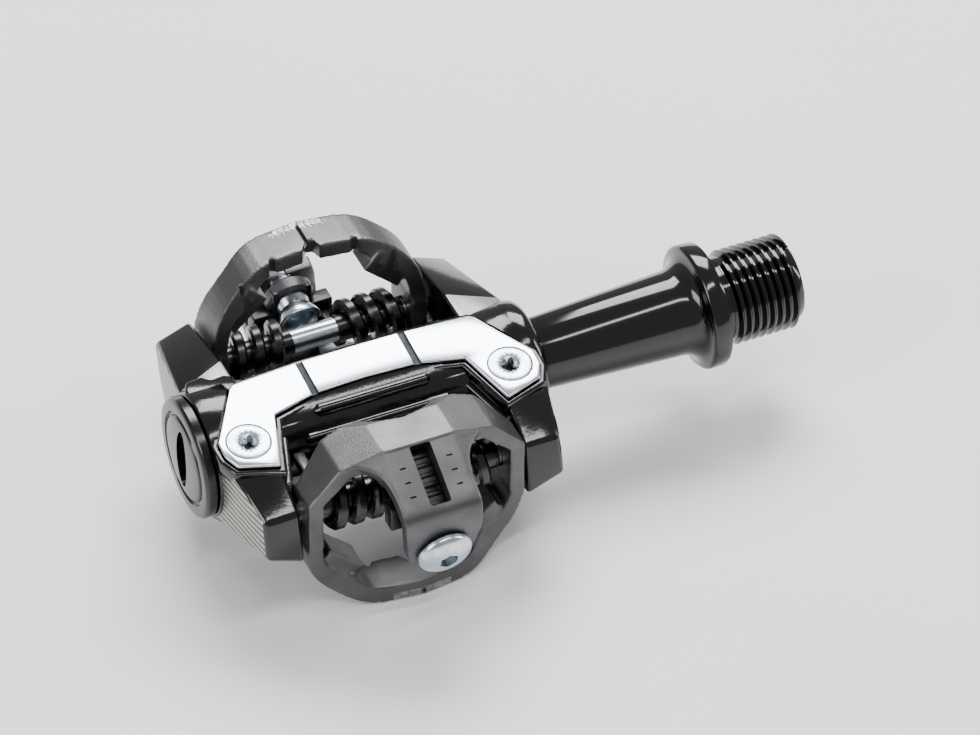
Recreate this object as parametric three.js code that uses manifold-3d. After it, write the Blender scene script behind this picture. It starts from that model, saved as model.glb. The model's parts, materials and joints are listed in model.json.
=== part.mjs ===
// Double-sided clipless bicycle pedal. Millimetres, +Z up.
// The origin is on the spindle axis at the crank face of the spindle's flange, and +X points into
// the crank. Every piece is drawn in the pedal's own frame, whose origin is the middle of the body,
// and the last group moves that frame back from the crank. The pedal looks the same when it is
// turned half a turn about the spindle, so the front pieces are the rear ones turned over.
import * as THREE from 'three'
import { ConvexGeometry } from 'three/addons/geometries/ConvexGeometry.js'
import { mergeVertices } from 'three/addons/utils/BufferGeometryUtils.js'
import Module from 'manifold-3d'

const wasm = await Module()
wasm.setup()

// ---------------------------------------------------------------- driving sizes
const CRANK_OFFSET = 56 // crank face to the middle of the body
const SEAT_GAP = 0.3 // between a fixed piece and what it sits on or in
const RUN_GAP = 0.35 // round a piece that turns or slides

// spindle
const THREAD_D = 14.29 // 9/16 inch
const THREAD_PITCH = 1.27 // 20 to the inch
const THREAD_DEPTH = 0.75
const THREAD_LENGTH = 11.5
const RELIEF_LENGTH = 1.7
const END_CHAMFER = 0.9
const HEX_KEY = 6
const HEX_DEPTH = 9
const FLANGE_D = 19
const FLANGE_THICK = 3
const FLANGE_FILLET = 3.2
const NECK_D = 12.9 // next to the flange
const SHAFT_D = 10.7 // where it enters the body
const BUSH_JOURNAL_D = 9.5
const CORE_D = 8.6
const SHOULDER_D = 7.6
const HEX_CORNERS = 6

// body casting
const BARREL_D = 17.6
const HOUSING_D = 18.8 // the collar that the cap screws into
const HOUSING_LENGTH = 6
const ARM_INNER_X = 17.4
const ARM_TIP_X = ARM_INNER_X + 5.7
const ARM_ROOT_X = ARM_INNER_X + 7.9
const BARREL_CRANK_END = ARM_ROOT_X + 1.5
const BARREL_CAP_END = -ARM_ROOT_X - 0.1
const PIN_Y = -17
const ARM_TIP_Y = -PIN_Y + 4.6
const ARM_FOLD_Y = -PIN_Y + 3.3
const ARM_KNEE_Y = -PIN_Y - 3.2
const ARM_ROOT_Y = 6.1
const ARM_EDGE_Z = 2.8 // height of the outer edge at the tip
const ARM_UNDER_Z = 3.4 // and its depth
const ARM_INNER_Z = 5.7
const ARM_KNEE_Z = 5.5
const ARM_ROOT_Z = 7.1
const ARM_CROWN_Z = 8.4

// cleat plates
const PLATE_LEVEL = 8.9 // height of the plate's face above the spindle axis
const PLATE_TILT = THREE.MathUtils.degToRad(7.4)
const PLATE_THICK = 1.6
const PLATE_RIM = 0.9 // body standing out round the plate
const PLATE_BAND_Y = 3.1
const GROOVE_X = 8
const GROOVE_WIDTH = 1.2
const GROOVE_DEPTH = 0.4
const PLATE_SINK = 0.7 // the plate's face stands this far above the rim
const BOSS_DEPTH = 7.6
const SCREW_X = ARM_INNER_X + 3
const SCREW_Y = -8.4
const SCREW_HEAD_D = 6.4
const SCREW_SHANK_D = 4
const SCREW_LENGTH = 5
const SCREW_KEY = 2.6

// bearings and the cap
const BEARING_BORE = 6
const BEARING_OD = 13
const BEARING_WIDTH = 5
const BEARING_X = BARREL_CAP_END + 9.4
const RACE_WALL = 0.65
const BALL_D = 1.8
const BALL_COUNT = 8
const SHIELD_THICK = 0.3
const WASHER_THICK = 1
const WASHER_D = 9.4
const NUT_THICK = 3
const NUT_KEY = 10
const BUSH_OD = 12.4
const BUSH_LENGTH = 14
const BUSH_X = BARREL_CRANK_END - 11.2
const SEAL_OD = 14.4
const SEAL_THICK = 2.2
const CAP_D = 18.2
const CAP_THICK = 1.6
const CAP_SKIRT_D = 15.2
const CAP_SKIRT_LENGTH = 3
const CAP_SKIRT_WALL = 1.1
const CAP_SLOT = [1.9, 9.5, 1.1] // width, length and depth of the coin slot
const O_RING_WIRE = 0.7

// jaws, their pins and springs, drawn for the rear jaw
const PIN_D = 3.6
const PIN_HEAD_D = PIN_D + 1.4
const PIN_HEAD_LENGTH = 2.6
const PIN_HEAD_X = ARM_INNER_X + 2.8
const PIN_BLIND_X = -ARM_INNER_X - 4
const PIN_KEY = 2.5
const POCKET_GAP = 0.5
const JAW_SIDE_GAP = 0.6 // between a jaw and the arms
const JAW_HALF = ARM_INNER_X - JAW_SIDE_GAP
const CHEEK_SWING = 5.4 // furthest that a cheek reaches from its pin towards the barrel
const JAW_TOP_Z = 11.9
const JAW_FOOT_Z = 17
const JAW_FACE_Y = PIN_Y - 4.8
const JAW_WALL = 2.3
const LIP_Y = PIN_Y + 3.9
const SCALLOP_HALF = 5.4
const SCALLOP_DEPTH = 3.2
const TONGUE_HALF = 6
const TONGUE_THICK = 2.3
const TONGUE_WINDOW = [3.2, 9.2] // width and length
const SEAM_WIDTH = 0.8
const SEAM_DEPTH = 1.1
const TOOTH_Y = [-3, 1.9] // front and back of the claw's teeth, from the pin
const SPRING_COILS = 3
const SPRING_WIRE = 1.8
const SPRING_BORE = PIN_D + 0.6
const SPRING_LENGTH = 10.5
const SPRING_INNER_X = 3.6
const SPRING_SAG = [-0.15, -0.1] // the coils hang off their pin by this much in y and z
const TENSION_HALF = 3.8
const TENSION_WING = 6.3 // half width where the spring legs press
const TENSION_FACE_Y = PIN_Y - 7.3
const TENSION_THICK = 2.4
const ADJUSTER_D = 4
const ADJUSTER_LENGTH = 7.2
const ADJUSTER_HEAD_D = 8.2
const ADJUSTER_HEAD_THICK = 2.1
const ADJUSTER_KEY = 3
const ADJUSTER_SEAT = [PIN_Y - 13.65, -1.6] // y and z where its axis leaves the tongue
const ADJUSTER_DROP = THREE.MathUtils.degToRad(16) // its head hangs this far below level

// ---------------------------------------------------------------- solids
const ROUND_STEPS = 24

/** A closed three.js geometry as a solid: vertices merged, flat triangles dropped, faces out. */
function solid(geometry) {
  const bare = geometry.clone()
  for (const name of Object.keys(bare.attributes)) {
    if (name !== 'position') bare.deleteAttribute(name)
  }
  const merged = mergeVertices(bare, 1e-4)
  const vertices = merged.attributes.position.array
  const corner = (i) => new THREE.Vector3().fromArray(vertices, i * 3)
  const index = merged.index.array
  let faces = []
  let volume = 0
  for (let i = 0; i < index.length; i += 3) {
    const [a, b, c] = [index[i], index[i + 1], index[i + 2]]
    if (a === b || b === c || c === a) continue
    faces.push([a, b, c])
    volume += corner(a).dot(corner(b).cross(corner(c)))
  }
  if (volume < 0) faces = faces.map(([a, b, c]) => [a, c, b])
  return new wasm.Manifold(new wasm.Mesh({
    numProp: 3,
    vertProperties: new Float32Array(vertices),
    triVerts: new Uint32Array(faces.flat()),
  }))
}

/** A solid as a geometry that a mesh can show. */
function geometryOf(body) {
  const mesh = body.getMesh()
  const geometry = new THREE.BufferGeometry()
  geometry.setAttribute('position', new THREE.BufferAttribute(mesh.vertProperties, 3))
  geometry.setIndex(new THREE.BufferAttribute(mesh.triVerts, 1))
  const flat = geometry.toNonIndexed()
  flat.computeVertexNormals()
  return flat
}

const join = (first, ...others) => others.reduce((sum, other) => sum.add(other), first)
const cut = (first, ...tools) => tools.reduce((rest, tool) => rest.subtract(tool), first)

/** Turned about X: points are [x, radius], from one end to the other. */
function turned(points, steps = ROUND_STEPS) {
  const profile = points.map(([x, radius]) => new THREE.Vector2(radius, x))
  return new THREE.LatheGeometry(profile, steps).rotateZ(-Math.PI / 2)
}

/** A solid rod along X with closed ends. */
const rod = (from, to, diameter, steps = ROUND_STEPS) =>
  turned([[from, 0], [from, diameter / 2], [to, diameter / 2], [to, 0]], steps)

/** A ring about X of rectangular section. */
function ring(from, to, inner, outer, steps = ROUND_STEPS) {
  const [a, b] = [inner / 2, outer / 2]
  return turned([[from, a], [from, b], [to, b], [to, a], [from, a]], steps)
}

const outline = (points) => new THREE.Shape(points.map(([a, b]) => new THREE.Vector2(a, b)))
const extruded = (points, depth) =>
  new THREE.ExtrudeGeometry(outline(points), { depth, bevelEnabled: false, steps: 1 })

/** An outline in X and Z, drawn out along Y from one place to another. */
const alongY = (points, from, to) =>
  extruded(points, to - from).rotateX(Math.PI / 2).translate(0, to, 0)

/** An outline in Y and Z, drawn out along X from one place to another. */
function alongX(points, from, to) {
  const turn = new THREE.Matrix4().set(0, 0, 1, 0, 1, 0, 0, 0, 0, 1, 0, 0, 0, 0, 0, 1)
  return extruded(points, to - from).applyMatrix4(turn).translate(from, 0, 0)
}

/** An outline in X and Y, drawn out along Z from one place to another. */
const alongZ = (points, from, to) => extruded(points, to - from).translate(0, 0, from)

/** A box from its lowest to its highest corner. */
function block([x0, y0, z0], [x1, y1, z1]) {
  const box = new THREE.BoxGeometry(x1 - x0, y1 - y0, z1 - z0)
  return box.translate((x0 + x1) / 2, (y0 + y1) / 2, (z0 + z1) / 2)
}

/** Right-hand points, then the same points mirrored, as one closed outline. */
const mirrored = (right) => [
  ...right,
  ...right.filter(([x]) => x !== 0).map(([x, y]) => [-x, y]).reverse(),
]

/** Moves every side of an outline outwards by a margin. */
function grown(points, margin) {
  const area = points.reduce((sum, [x, y], i) => {
    const [nx, ny] = points[(i + 1) % points.length]
    return sum + x * ny - nx * y
  }, 0)
  const side = (i) => {
    const from = new THREE.Vector2(...points[i % points.length])
    const to = new THREE.Vector2(...points[(i + 1) % points.length])
    const along = to.clone().sub(from).normalize()
    const out = new THREE.Vector2(along.y, -along.x).multiplyScalar(Math.sign(area) * margin)
    return { from: from.add(out), along }
  }
  return points.map((_, i) => {
    const [before, after] = [side(i + points.length - 1), side(i)]
    const turn = before.along.cross(after.along)
    const gap = after.from.clone().sub(before.from)
    const reach = Math.abs(turn) < 1e-6 ? before.along.dot(gap) : gap.cross(after.along) / turn
    return before.from.clone().addScaledVector(before.along, reach).toArray()
  })
}

/** Corners of a six-sided key hole or nut, by its size across flats. */
function hexagon(acrossFlats) {
  const radius = acrossFlats / Math.sqrt(3)
  return Array.from({ length: HEX_CORNERS }, (_, i) => {
    const angle = (i * Math.PI) / 3
    return [radius * Math.cos(angle), radius * Math.sin(angle)]
  })
}

/** Corners of a round outline. */
function circle(diameter, centreA = 0, centreB = 0, steps = 24) {
  return Array.from({ length: steps }, (_, i) => {
    const angle = (i * 2 * Math.PI) / steps
    return [centreA + (diameter / 2) * Math.cos(angle), centreB + (diameter / 2) * Math.sin(angle)]
  })
}

// ---------------------------------------------------------------- finishes
const finish = (color, roughness, metalness) => () =>
  new THREE.MeshStandardMaterial({ color, roughness, metalness })
const blackGloss = finish('#17181a', 0.25, 0.3)
const blackSatin = finish('#1d1e20', 0.5, 0.2)
const castSteel = finish('#5b5d60', 0.45, 0.8)
const brightSteel = finish('#c9ced2', 0.2, 1)
const platePolish = finish('#dfe4ea', 0.12, 1)
const rubber = finish('#141414', 0.9, 0)
const polymer = finish('#c8a045', 0.6, 0)

function piece(name, shape, material) {
  const body = shape.isBufferGeometry ? solid(shape) : shape
  const mesh = new THREE.Mesh(geometryOf(body), material())
  mesh.name = name
  return mesh
}

// ---------------------------------------------------------------- spindle group
const bearingFrom = BEARING_X - BEARING_WIDTH / 2
const bearingTo = BEARING_X + BEARING_WIDTH / 2
const washerFrom = bearingFrom - SEAT_GAP - WASHER_THICK
const nutFrom = washerFrom - SEAT_GAP - NUT_THICK
const bushFrom = BUSH_X - BUSH_LENGTH / 2
const bushTo = BUSH_X + BUSH_LENGTH / 2
const sealTo = BARREL_CRANK_END - SEAT_GAP
const sealFrom = sealTo - SEAL_THICK
const flangeFrom = CRANK_OFFSET - FLANGE_THICK
const threadFrom = CRANK_OFFSET + RELIEF_LENGTH
const threadTo = threadFrom + THREAD_LENGTH
const boreFit = BEARING_BORE - 2 * SEAT_GAP

function threadProfile() {
  const [crest, root] = [THREAD_D / 2, THREAD_D / 2 - THREAD_DEPTH]
  const turns = Math.floor((THREAD_LENGTH - END_CHAMFER) / THREAD_PITCH)
  const points = []
  for (let i = 0; i < turns; i += 1) {
    const start = threadFrom + i * THREAD_PITCH
    points.push([start + THREAD_PITCH * 0.1, root], [start + THREAD_PITCH * 0.55, crest])
  }
  return points
}

function flangeFillet() {
  const [neck, rim] = [NECK_D / 2, FLANGE_D / 2]
  return [0, 0.25, 0.5, 0.75, 1].map((share) => {
    const angle = (share * Math.PI) / 2
    const x = flangeFrom - FLANGE_FILLET * (1 - Math.sin(angle))
    return [x, neck + (rim - 0.3 - neck) * (1 - Math.cos(angle))]
  })
}

function spindle() {
  const root = THREAD_D / 2 - THREAD_DEPTH
  const turnedShape = solid(turned([
    [nutFrom - SEAT_GAP, 0],
    [nutFrom - SEAT_GAP, boreFit / 2],
    [bearingTo + SEAT_GAP, boreFit / 2],
    [bearingTo + SEAT_GAP, SHOULDER_D / 2],
    [bearingTo + 2, CORE_D / 2],
    [bushFrom - 1, CORE_D / 2],
    [bushFrom - 1, BUSH_JOURNAL_D / 2],
    [bushTo + 1, BUSH_JOURNAL_D / 2],
    [bushTo + 1, SHAFT_D / 2],
    [BARREL_CRANK_END, SHAFT_D / 2],
    ...flangeFillet(),
    [flangeFrom + 0.4, FLANGE_D / 2],
    [CRANK_OFFSET - 0.5, FLANGE_D / 2],
    [CRANK_OFFSET, FLANGE_D / 2 - 0.5],
    [CRANK_OFFSET, root],
    [threadFrom, root],
    ...threadProfile(),
    [threadTo - END_CHAMFER, THREAD_D / 2],
    [threadTo, THREAD_D / 2 - END_CHAMFER],
    [threadTo, 0],
  ]))
  const key = solid(alongX(hexagon(HEX_KEY), threadTo - HEX_DEPTH, threadTo + 1))
  const mouth = solid(turned([
    [threadTo - 0.8, 0],
    [threadTo - 0.8, HEX_KEY / 2],
    [threadTo + 1, HEX_KEY / 2 + 1.4],
    [threadTo + 1, 0],
  ]))
  return piece('spindle', cut(turnedShape, key, mouth), blackGloss)
}

function lockNut() {
  const hex = solid(alongX(hexagon(NUT_KEY), nutFrom, nutFrom + NUT_THICK))
  const hole = solid(rod(nutFrom - 1, nutFrom + NUT_THICK + 1, BEARING_BORE))
  return piece('lock_nut', cut(hex, hole), brightSteel)
}

const lockWasher = () => piece(
  'lock_washer',
  ring(washerFrom, washerFrom + WASHER_THICK, BEARING_BORE, WASHER_D),
  brightSteel,
)

const innerRace = () => piece(
  'bearing_inner_race',
  ring(bearingFrom, bearingTo, BEARING_BORE, BEARING_BORE + 2 * RACE_WALL),
  brightSteel,
)

// ---------------------------------------------------------------- bearing parts in the body
const outerRace = () => piece(
  'bearing_outer_race',
  ring(bearingFrom, bearingTo, BEARING_OD - 2 * RACE_WALL, BEARING_OD),
  brightSteel,
)

/** The balls and the cage that spaces them, as one body. */
function ballCage() {
  const pitchRadius = (BEARING_BORE + BEARING_OD) / 4
  const cage = solid(ring(BEARING_X - 0.5, BEARING_X + 0.5, 2 * pitchRadius - 0.6, 2 * pitchRadius + 0.6))
  const balls = Array.from({ length: BALL_COUNT }, (_, i) => {
    const angle = (i * 2 * Math.PI) / BALL_COUNT
    const ball = new THREE.SphereGeometry(BALL_D / 2, 8, 6)
    return solid(ball.translate(BEARING_X, pitchRadius * Math.cos(angle), pitchRadius * Math.sin(angle)))
  })
  return piece('bearing_ball_cage', join(cage, ...balls), brightSteel)
}

function bearingShield(name, from) {
  const inner = BEARING_BORE + 2 * RACE_WALL + 2 * SEAT_GAP
  const outer = BEARING_OD - 2 * RACE_WALL - 2 * SEAT_GAP
  return piece(name, ring(from, from + SHIELD_THICK, inner, outer), blackSatin)
}

const plainBush = () => piece(
  'plain_bush',
  ring(bushFrom, bushTo, BUSH_JOURNAL_D + 2 * RUN_GAP, BUSH_OD),
  polymer,
)

const spindleSeal = () => piece(
  'spindle_seal',
  ring(sealFrom, sealTo, SHAFT_D + 2 * RUN_GAP, SEAL_OD),
  rubber,
)

function endCap() {
  const face = BARREL_CAP_END - SEAT_GAP
  const disc = solid(turned([
    [face - CAP_THICK, 0],
    [face - CAP_THICK, CAP_D / 2 - 0.9],
    [face - CAP_THICK + 0.7, CAP_D / 2],
    [face, CAP_D / 2],
    [face, 0],
  ]))
  const skirtBore = CAP_SKIRT_D - 2 * CAP_SKIRT_WALL
  const skirt = solid(ring(face - 0.2, face + CAP_SKIRT_LENGTH, skirtBore, CAP_SKIRT_D))
  const [width, length, depth] = CAP_SLOT
  const slot = solid(block(
    [face - CAP_THICK - 1, -length / 2, -width / 2],
    [face - CAP_THICK + depth, length / 2, width / 2],
  ))
  return piece('end_cap', cut(join(disc, skirt), slot), blackSatin)
}

/** The ring that seals the cap lies in a groove at the mouth of the collar. */
function capSealRing() {
  const centre = CAP_SKIRT_D / 2 + SEAT_GAP + O_RING_WIRE / 2
  const from = BARREL_CAP_END + SEAT_GAP
  const section = circle(O_RING_WIRE, from + O_RING_WIRE / 2, centre, 8)
  return piece('cap_o_ring', turned([...section, section[0]]), rubber)
}

// ---------------------------------------------------------------- body casting
/** Turns the plate's own flat frame into the pedal's frame. */
const plateFrame = () =>
  new THREE.Matrix4().makeRotationX(PLATE_TILT).setPosition(0, 0, PLATE_LEVEL)
const turnedOver = () => new THREE.Matrix4().makeRotationX(Math.PI)

/** The plate seen from above: a band across the spindle with a foot at each end. */
const plateOutline = () => mirrored([
  [0, PLATE_BAND_Y],
  [GROOVE_X, PLATE_BAND_Y - 0.1],
  [SCREW_X - 1.9, PLATE_BAND_Y - 0.7],
  [SCREW_X - 1.1, PLATE_BAND_Y - 1.4],
  [SCREW_X + 4.2, SCREW_Y + 1.3],
  [SCREW_X + 4.2, SCREW_Y - 1.4],
  [SCREW_X + 3.1, SCREW_Y - 3.8],
  [SCREW_X - 2.7, SCREW_Y - 5.7],
  [SCREW_X - 5.5, SCREW_Y + 3.4],
  [GROOVE_X, -PLATE_BAND_Y - 0.3],
  [0, -PLATE_BAND_Y],
])

/** One arm at the rear on the crank side; the others are this one mirrored and turned over. */
const armPoints = () => [
  [ARM_TIP_X - 0.2, -ARM_FOLD_Y, ARM_EDGE_Z],
  [ARM_INNER_X, -ARM_FOLD_Y, ARM_EDGE_Z],
  [ARM_TIP_X, -ARM_TIP_Y, -ARM_UNDER_Z],
  [ARM_INNER_X, -ARM_TIP_Y, -ARM_INNER_Z],
  [ARM_TIP_X + 1.1, -ARM_KNEE_Y, ARM_KNEE_Z],
  [ARM_INNER_X, -ARM_KNEE_Y, ARM_KNEE_Z + 0.6],
  [ARM_ROOT_X, -ARM_ROOT_Y, -ARM_ROOT_Z],
  [ARM_INNER_X, -ARM_ROOT_Y - 2.7, -ARM_CROWN_Z],
  [ARM_ROOT_X, -ARM_ROOT_Y, ARM_ROOT_Z - 0.4],
  [ARM_INNER_X, -ARM_ROOT_Y, ARM_CROWN_Z - 1.2],
  [ARM_ROOT_X, 1, ARM_ROOT_Z],
  [ARM_ROOT_X, 1, -ARM_ROOT_Z],
  [ARM_INNER_X, 1, ARM_CROWN_Z],
  [ARM_INNER_X, 1, -ARM_CROWN_Z],
]

function arms() {
  const shapes = []
  for (const side of [1, -1]) {
    const points = armPoints().map(([x, y, z]) => new THREE.Vector3(side * x, y, z))
    const arm = new ConvexGeometry(points)
    shapes.push(solid(arm), solid(arm.clone().applyMatrix4(turnedOver())))
  }
  return shapes
}

/** A shape drawn in the top plate's flat frame, as a solid at the top and one underneath. */
function underBothPlates(shape) {
  const top = shape.applyMatrix4(plateFrame())
  return [solid(top), solid(top.clone().applyMatrix4(turnedOver()))]
}

/** The raised seats that the two plates lie in, with a rim round each plate. */
const bosses = () =>
  underBothPlates(alongZ(grown(plateOutline(), PLATE_RIM), -BOSS_DEPTH, -PLATE_SINK))

/** The room that each plate takes out of its seat and out of the arms beside it. */
const plateRooms = () =>
  underBothPlates(alongZ(grown(plateOutline(), SEAT_GAP), -PLATE_THICK - SEAT_GAP, PLATE_LEVEL))

/** The space between the arms that a jaw swings in. */
function jawRooms() {
  const swing = rod(-ARM_INNER_X, ARM_INNER_X, 2 * CHEEK_SWING).translate(0, PIN_Y, 0)
  return [solid(swing), solid(swing.clone().applyMatrix4(turnedOver()))]
}

/** Stepped bore for the bush, the seal, the bearing and the cap. */
function spindleBores() {
  const capMouth = CAP_SKIRT_D + 2 * SEAT_GAP
  const grooveDepth = O_RING_WIRE + SEAT_GAP
  return [
    rod(BARREL_CAP_END - 1, BARREL_CRANK_END + 1, CORE_D + 2),
    rod(bushFrom - SEAT_GAP, BARREL_CRANK_END + 1, BUSH_OD + 2 * SEAT_GAP),
    rod(sealFrom - SEAT_GAP, BARREL_CRANK_END + 1, SEAL_OD + 2 * SEAT_GAP),
    rod(BARREL_CAP_END - 1, bearingTo + SEAT_GAP, BEARING_OD + 2 * SEAT_GAP),
    rod(BARREL_CAP_END - 1, BARREL_CAP_END + CAP_SKIRT_LENGTH + SEAT_GAP, capMouth),
    rod(BARREL_CAP_END - 1, BARREL_CAP_END + grooveDepth + SEAT_GAP, capMouth + 2 * grooveDepth),
  ].map(solid)
}

/** Blind hole, clear hole and head pocket of one pivot pin. */
function pinHoles() {
  const hole = PIN_D + 2 * SEAT_GAP
  const pocket = PIN_HEAD_D + 2 * POCKET_GAP
  const tools = [
    rod(PIN_BLIND_X - SEAT_GAP, PIN_HEAD_X, hole, 20),
    rod(PIN_HEAD_X - SEAT_GAP, ARM_ROOT_X + 2, pocket, 24),
  ].map((tool) => tool.translate(0, PIN_Y, 0))
  return tools.flatMap((tool) => [solid(tool), solid(tool.clone().applyMatrix4(turnedOver()))])
}

/** Threaded holes under the plates. */
function plateScrewHoles() {
  const depth = SCREW_LENGTH + 0.6
  const hole = SCREW_SHANK_D + 2 * SEAT_GAP
  return [SCREW_X, -SCREW_X].flatMap((x) =>
    underBothPlates(alongZ(circle(hole, x, SCREW_Y, 20), -depth, 1)))
}

function pedalBody() {
  const barrel = solid(turned([
    [BARREL_CAP_END, 0],
    [BARREL_CAP_END, HOUSING_D / 2 - 0.4],
    [BARREL_CAP_END + 0.4, HOUSING_D / 2],
    [BARREL_CAP_END + HOUSING_LENGTH, HOUSING_D / 2],
    [BARREL_CAP_END + HOUSING_LENGTH, BARREL_D / 2],
    [BARREL_CRANK_END - 1, BARREL_D / 2],
    [BARREL_CRANK_END, BARREL_D / 2 - 1],
    [BARREL_CRANK_END, 0],
  ]))
  const whole = join(barrel, ...arms(), ...bosses())
  const rooms = [...plateRooms(), ...jawRooms(), ...spindleBores(), ...pinHoles(), ...plateScrewHoles()]
  const body = cut(whole, ...rooms)
  return piece('pedal_body', body, blackGloss)
}

// ---------------------------------------------------------------- cleat plates and their screws
/** Cone of a flush screw head from its face down, grown by a gap for the hole it sits in. */
function screwCone(x, gap, lift) {
  const [head, shank] = [SCREW_HEAD_D / 2 + gap, SCREW_SHANK_D / 2 + gap]
  const depth = head - shank
  const cone = turned([
    [-SCREW_LENGTH, 0],
    [-SCREW_LENGTH, shank],
    [-depth - 0.3, shank],
    [-0.3, head],
    [lift, head],
    [lift, 0],
  ])
  return cone.rotateY(-Math.PI / 2).translate(x, SCREW_Y, 0)
}

function cleatPlate(name) {
  const sheet = solid(alongZ(plateOutline(), -PLATE_THICK, 0))
  const grooves = [GROOVE_X, -GROOVE_X].map((x) => solid(block(
    [x - GROOVE_WIDTH / 2, -3 * PLATE_BAND_Y, -GROOVE_DEPTH],
    [x + GROOVE_WIDTH / 2, 3 * PLATE_BAND_Y, 1],
  )))
  const holes = [SCREW_X, -SCREW_X].map((x) => solid(screwCone(x, SEAT_GAP, 1)))
  return piece(name, cut(sheet, ...grooves, ...holes), platePolish)
}

function plateScrew(name, x) {
  const key = alongZ(hexagon(SCREW_KEY).map(([a, b]) => [a + x, b + SCREW_Y]), -1.6, 1)
  return piece(name, cut(solid(screwCone(x, 0, 0)), solid(key)), brightSteel)
}

/** A plate with its two screws, in the plate's own flat frame. */
function plateSet(side) {
  const set = new THREE.Group()
  set.add(
    cleatPlate(`${side}_cleat_plate`),
    plateScrew(`${side}_plate_screw_crank_side`, SCREW_X),
    plateScrew(`${side}_plate_screw_cap_side`, -SCREW_X),
  )
  set.position.z = PLATE_LEVEL
  set.rotation.x = PLATE_TILT
  return set
}

// ---------------------------------------------------------------- jaws
/**
 * Sections of the jaw's ring on the crank side, from the middle of the hood round the pin's cheek to
 * the middle of the claw. Each is its outer corner in X and Z, its inner corner, and its front and
 * back in Y.
 */
function ringSections() {
  const [side, inside] = [JAW_HALF, JAW_HALF - JAW_WALL]
  const [face, foot] = [JAW_FACE_Y, -JAW_FOOT_Z]
  const roof = JAW_TOP_Z - 3.6
  return [
    [[0, JAW_TOP_Z], [0, roof], [face - 0.5, LIP_Y]],
    [[SCALLOP_HALF, JAW_TOP_Z], [SCALLOP_HALF, roof], [face - 0.4, LIP_Y]],
    [[side - 4.8, JAW_TOP_Z - 1.9], [side - 6.6, roof], [face, LIP_Y - 1.2]],
    [[side, 4.9], [inside, 4.3], [face, LIP_Y - 3.4]],
    [[side, 3.6], [inside, 3.4], [face, PIN_Y + 3.6]],
    [[side, -3.6], [inside, -3.6], [face + 0.1, PIN_Y + 3.6]],
    [[side, -5.3], [inside, -5.2], [face + 0.4, PIN_Y + 3.2]],
    [[side - 1, -10], [inside - 1.2, -9.2], [face + 1.4, PIN_Y + 3]],
    [[side - 3.9, foot + 3], [inside - 4.3, foot + 5.4], [face + 1.4, PIN_Y + 2.2]],
    [[side - 8.8, foot + 0.5], [side - 9.6, foot + 3.1], [face - 0.8, PIN_Y + 0.6]],
    [[0, foot], [0, foot + 2.7], [face - 1.8, PIN_Y - 0.2]],
  ]
}

/** The corners of one section of the ring, on the crank side or mirrored to the cap side. */
const sectionCorners = ([outer, inner, ends], side) =>
  [outer, inner].flatMap(([x, z]) => ends.map((y) => new THREE.Vector3(side * x, y, z)))

/** The ring, as one block between each pair of neighbouring sections. */
function jawRing() {
  const sections = ringSections()
  const blocks = []
  for (const side of [1, -1]) {
    for (let i = 1; i < sections.length; i += 1) {
      const corners = [...sectionCorners(sections[i - 1], side), ...sectionCorners(sections[i], side)]
      blocks.push(solid(new ConvexGeometry(corners)))
    }
  }
  return join(...blocks)
}

/** The dip in the hood's lip, and the slope of the lip down to the cleat. */
function lipCuts() {
  const scallop = alongZ([0, 0.25, 0.5, 0.75, 1, 1.25, 1.5, 1.75, 2].map((share) => {
    const angle = (share * Math.PI) / 2
    return [SCALLOP_HALF * Math.cos(angle), LIP_Y - SCALLOP_DEPTH * Math.sin(angle)]
  }).concat([[-SCALLOP_HALF, LIP_Y + 1], [SCALLOP_HALF, LIP_Y + 1]]), 0, JAW_TOP_Z + 1)
  const slope = alongX([
    [LIP_Y + 1, JAW_TOP_Z - 1.7],
    [LIP_Y - 2.9, JAW_TOP_Z],
    [LIP_Y - 2.9, JAW_TOP_Z + 1],
    [LIP_Y + 1, JAW_TOP_Z + 1],
  ], -JAW_HALF, JAW_HALF)
  return [solid(scallop), solid(slope)]
}

/** The tongue seen from its end: it slopes out from the hood, bends down and curls under. */
function tongueSide() {
  const [seatY, seatZ] = ADJUSTER_SEAT
  const bend = JAW_FACE_Y - 10
  return [
    [JAW_FACE_Y + 2, JAW_TOP_Z],
    [JAW_FACE_Y - 0.5, JAW_TOP_Z - 0.2],
    [JAW_FACE_Y - 8.4, JAW_TOP_Z - 5],
    [bend + 0.4, JAW_TOP_Z - 6.3],
    [bend, JAW_TOP_Z - 8.3],
    [seatY - 0.72, seatZ + 2.5],
    [seatY + 0.6, seatZ - 2],
    [seatY + 0.6 + TONGUE_THICK, seatZ - 1.4],
    [seatY - 0.72 + TONGUE_THICK, seatZ + 2.8],
    [bend + TONGUE_THICK, JAW_TOP_Z - 8.3],
    [bend + 0.4 + TONGUE_THICK, JAW_TOP_Z - 7.4],
    [JAW_FACE_Y, JAW_TOP_Z - 3],
    [JAW_FACE_Y + 2, JAW_TOP_Z - 3.2],
  ]
}

/** The shoulders that widen the tongue into the hood. */
function tongueShoulders() {
  const [root, reach] = [JAW_FACE_Y + 0.8, JAW_FACE_Y - 3.4]
  const corners = [1, -1].flatMap((side) => [
    new THREE.Vector3(side * (TONGUE_HALF + 4), root, JAW_TOP_Z - 1.5),
    new THREE.Vector3(side * (TONGUE_HALF + 3.6), root, JAW_TOP_Z - 3.4),
    new THREE.Vector3(side * TONGUE_HALF, reach, JAW_TOP_Z - 2.2),
    new THREE.Vector3(side * TONGUE_HALF, reach, JAW_TOP_Z - 4.6),
  ])
  return solid(new ConvexGeometry(corners))
}

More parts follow.
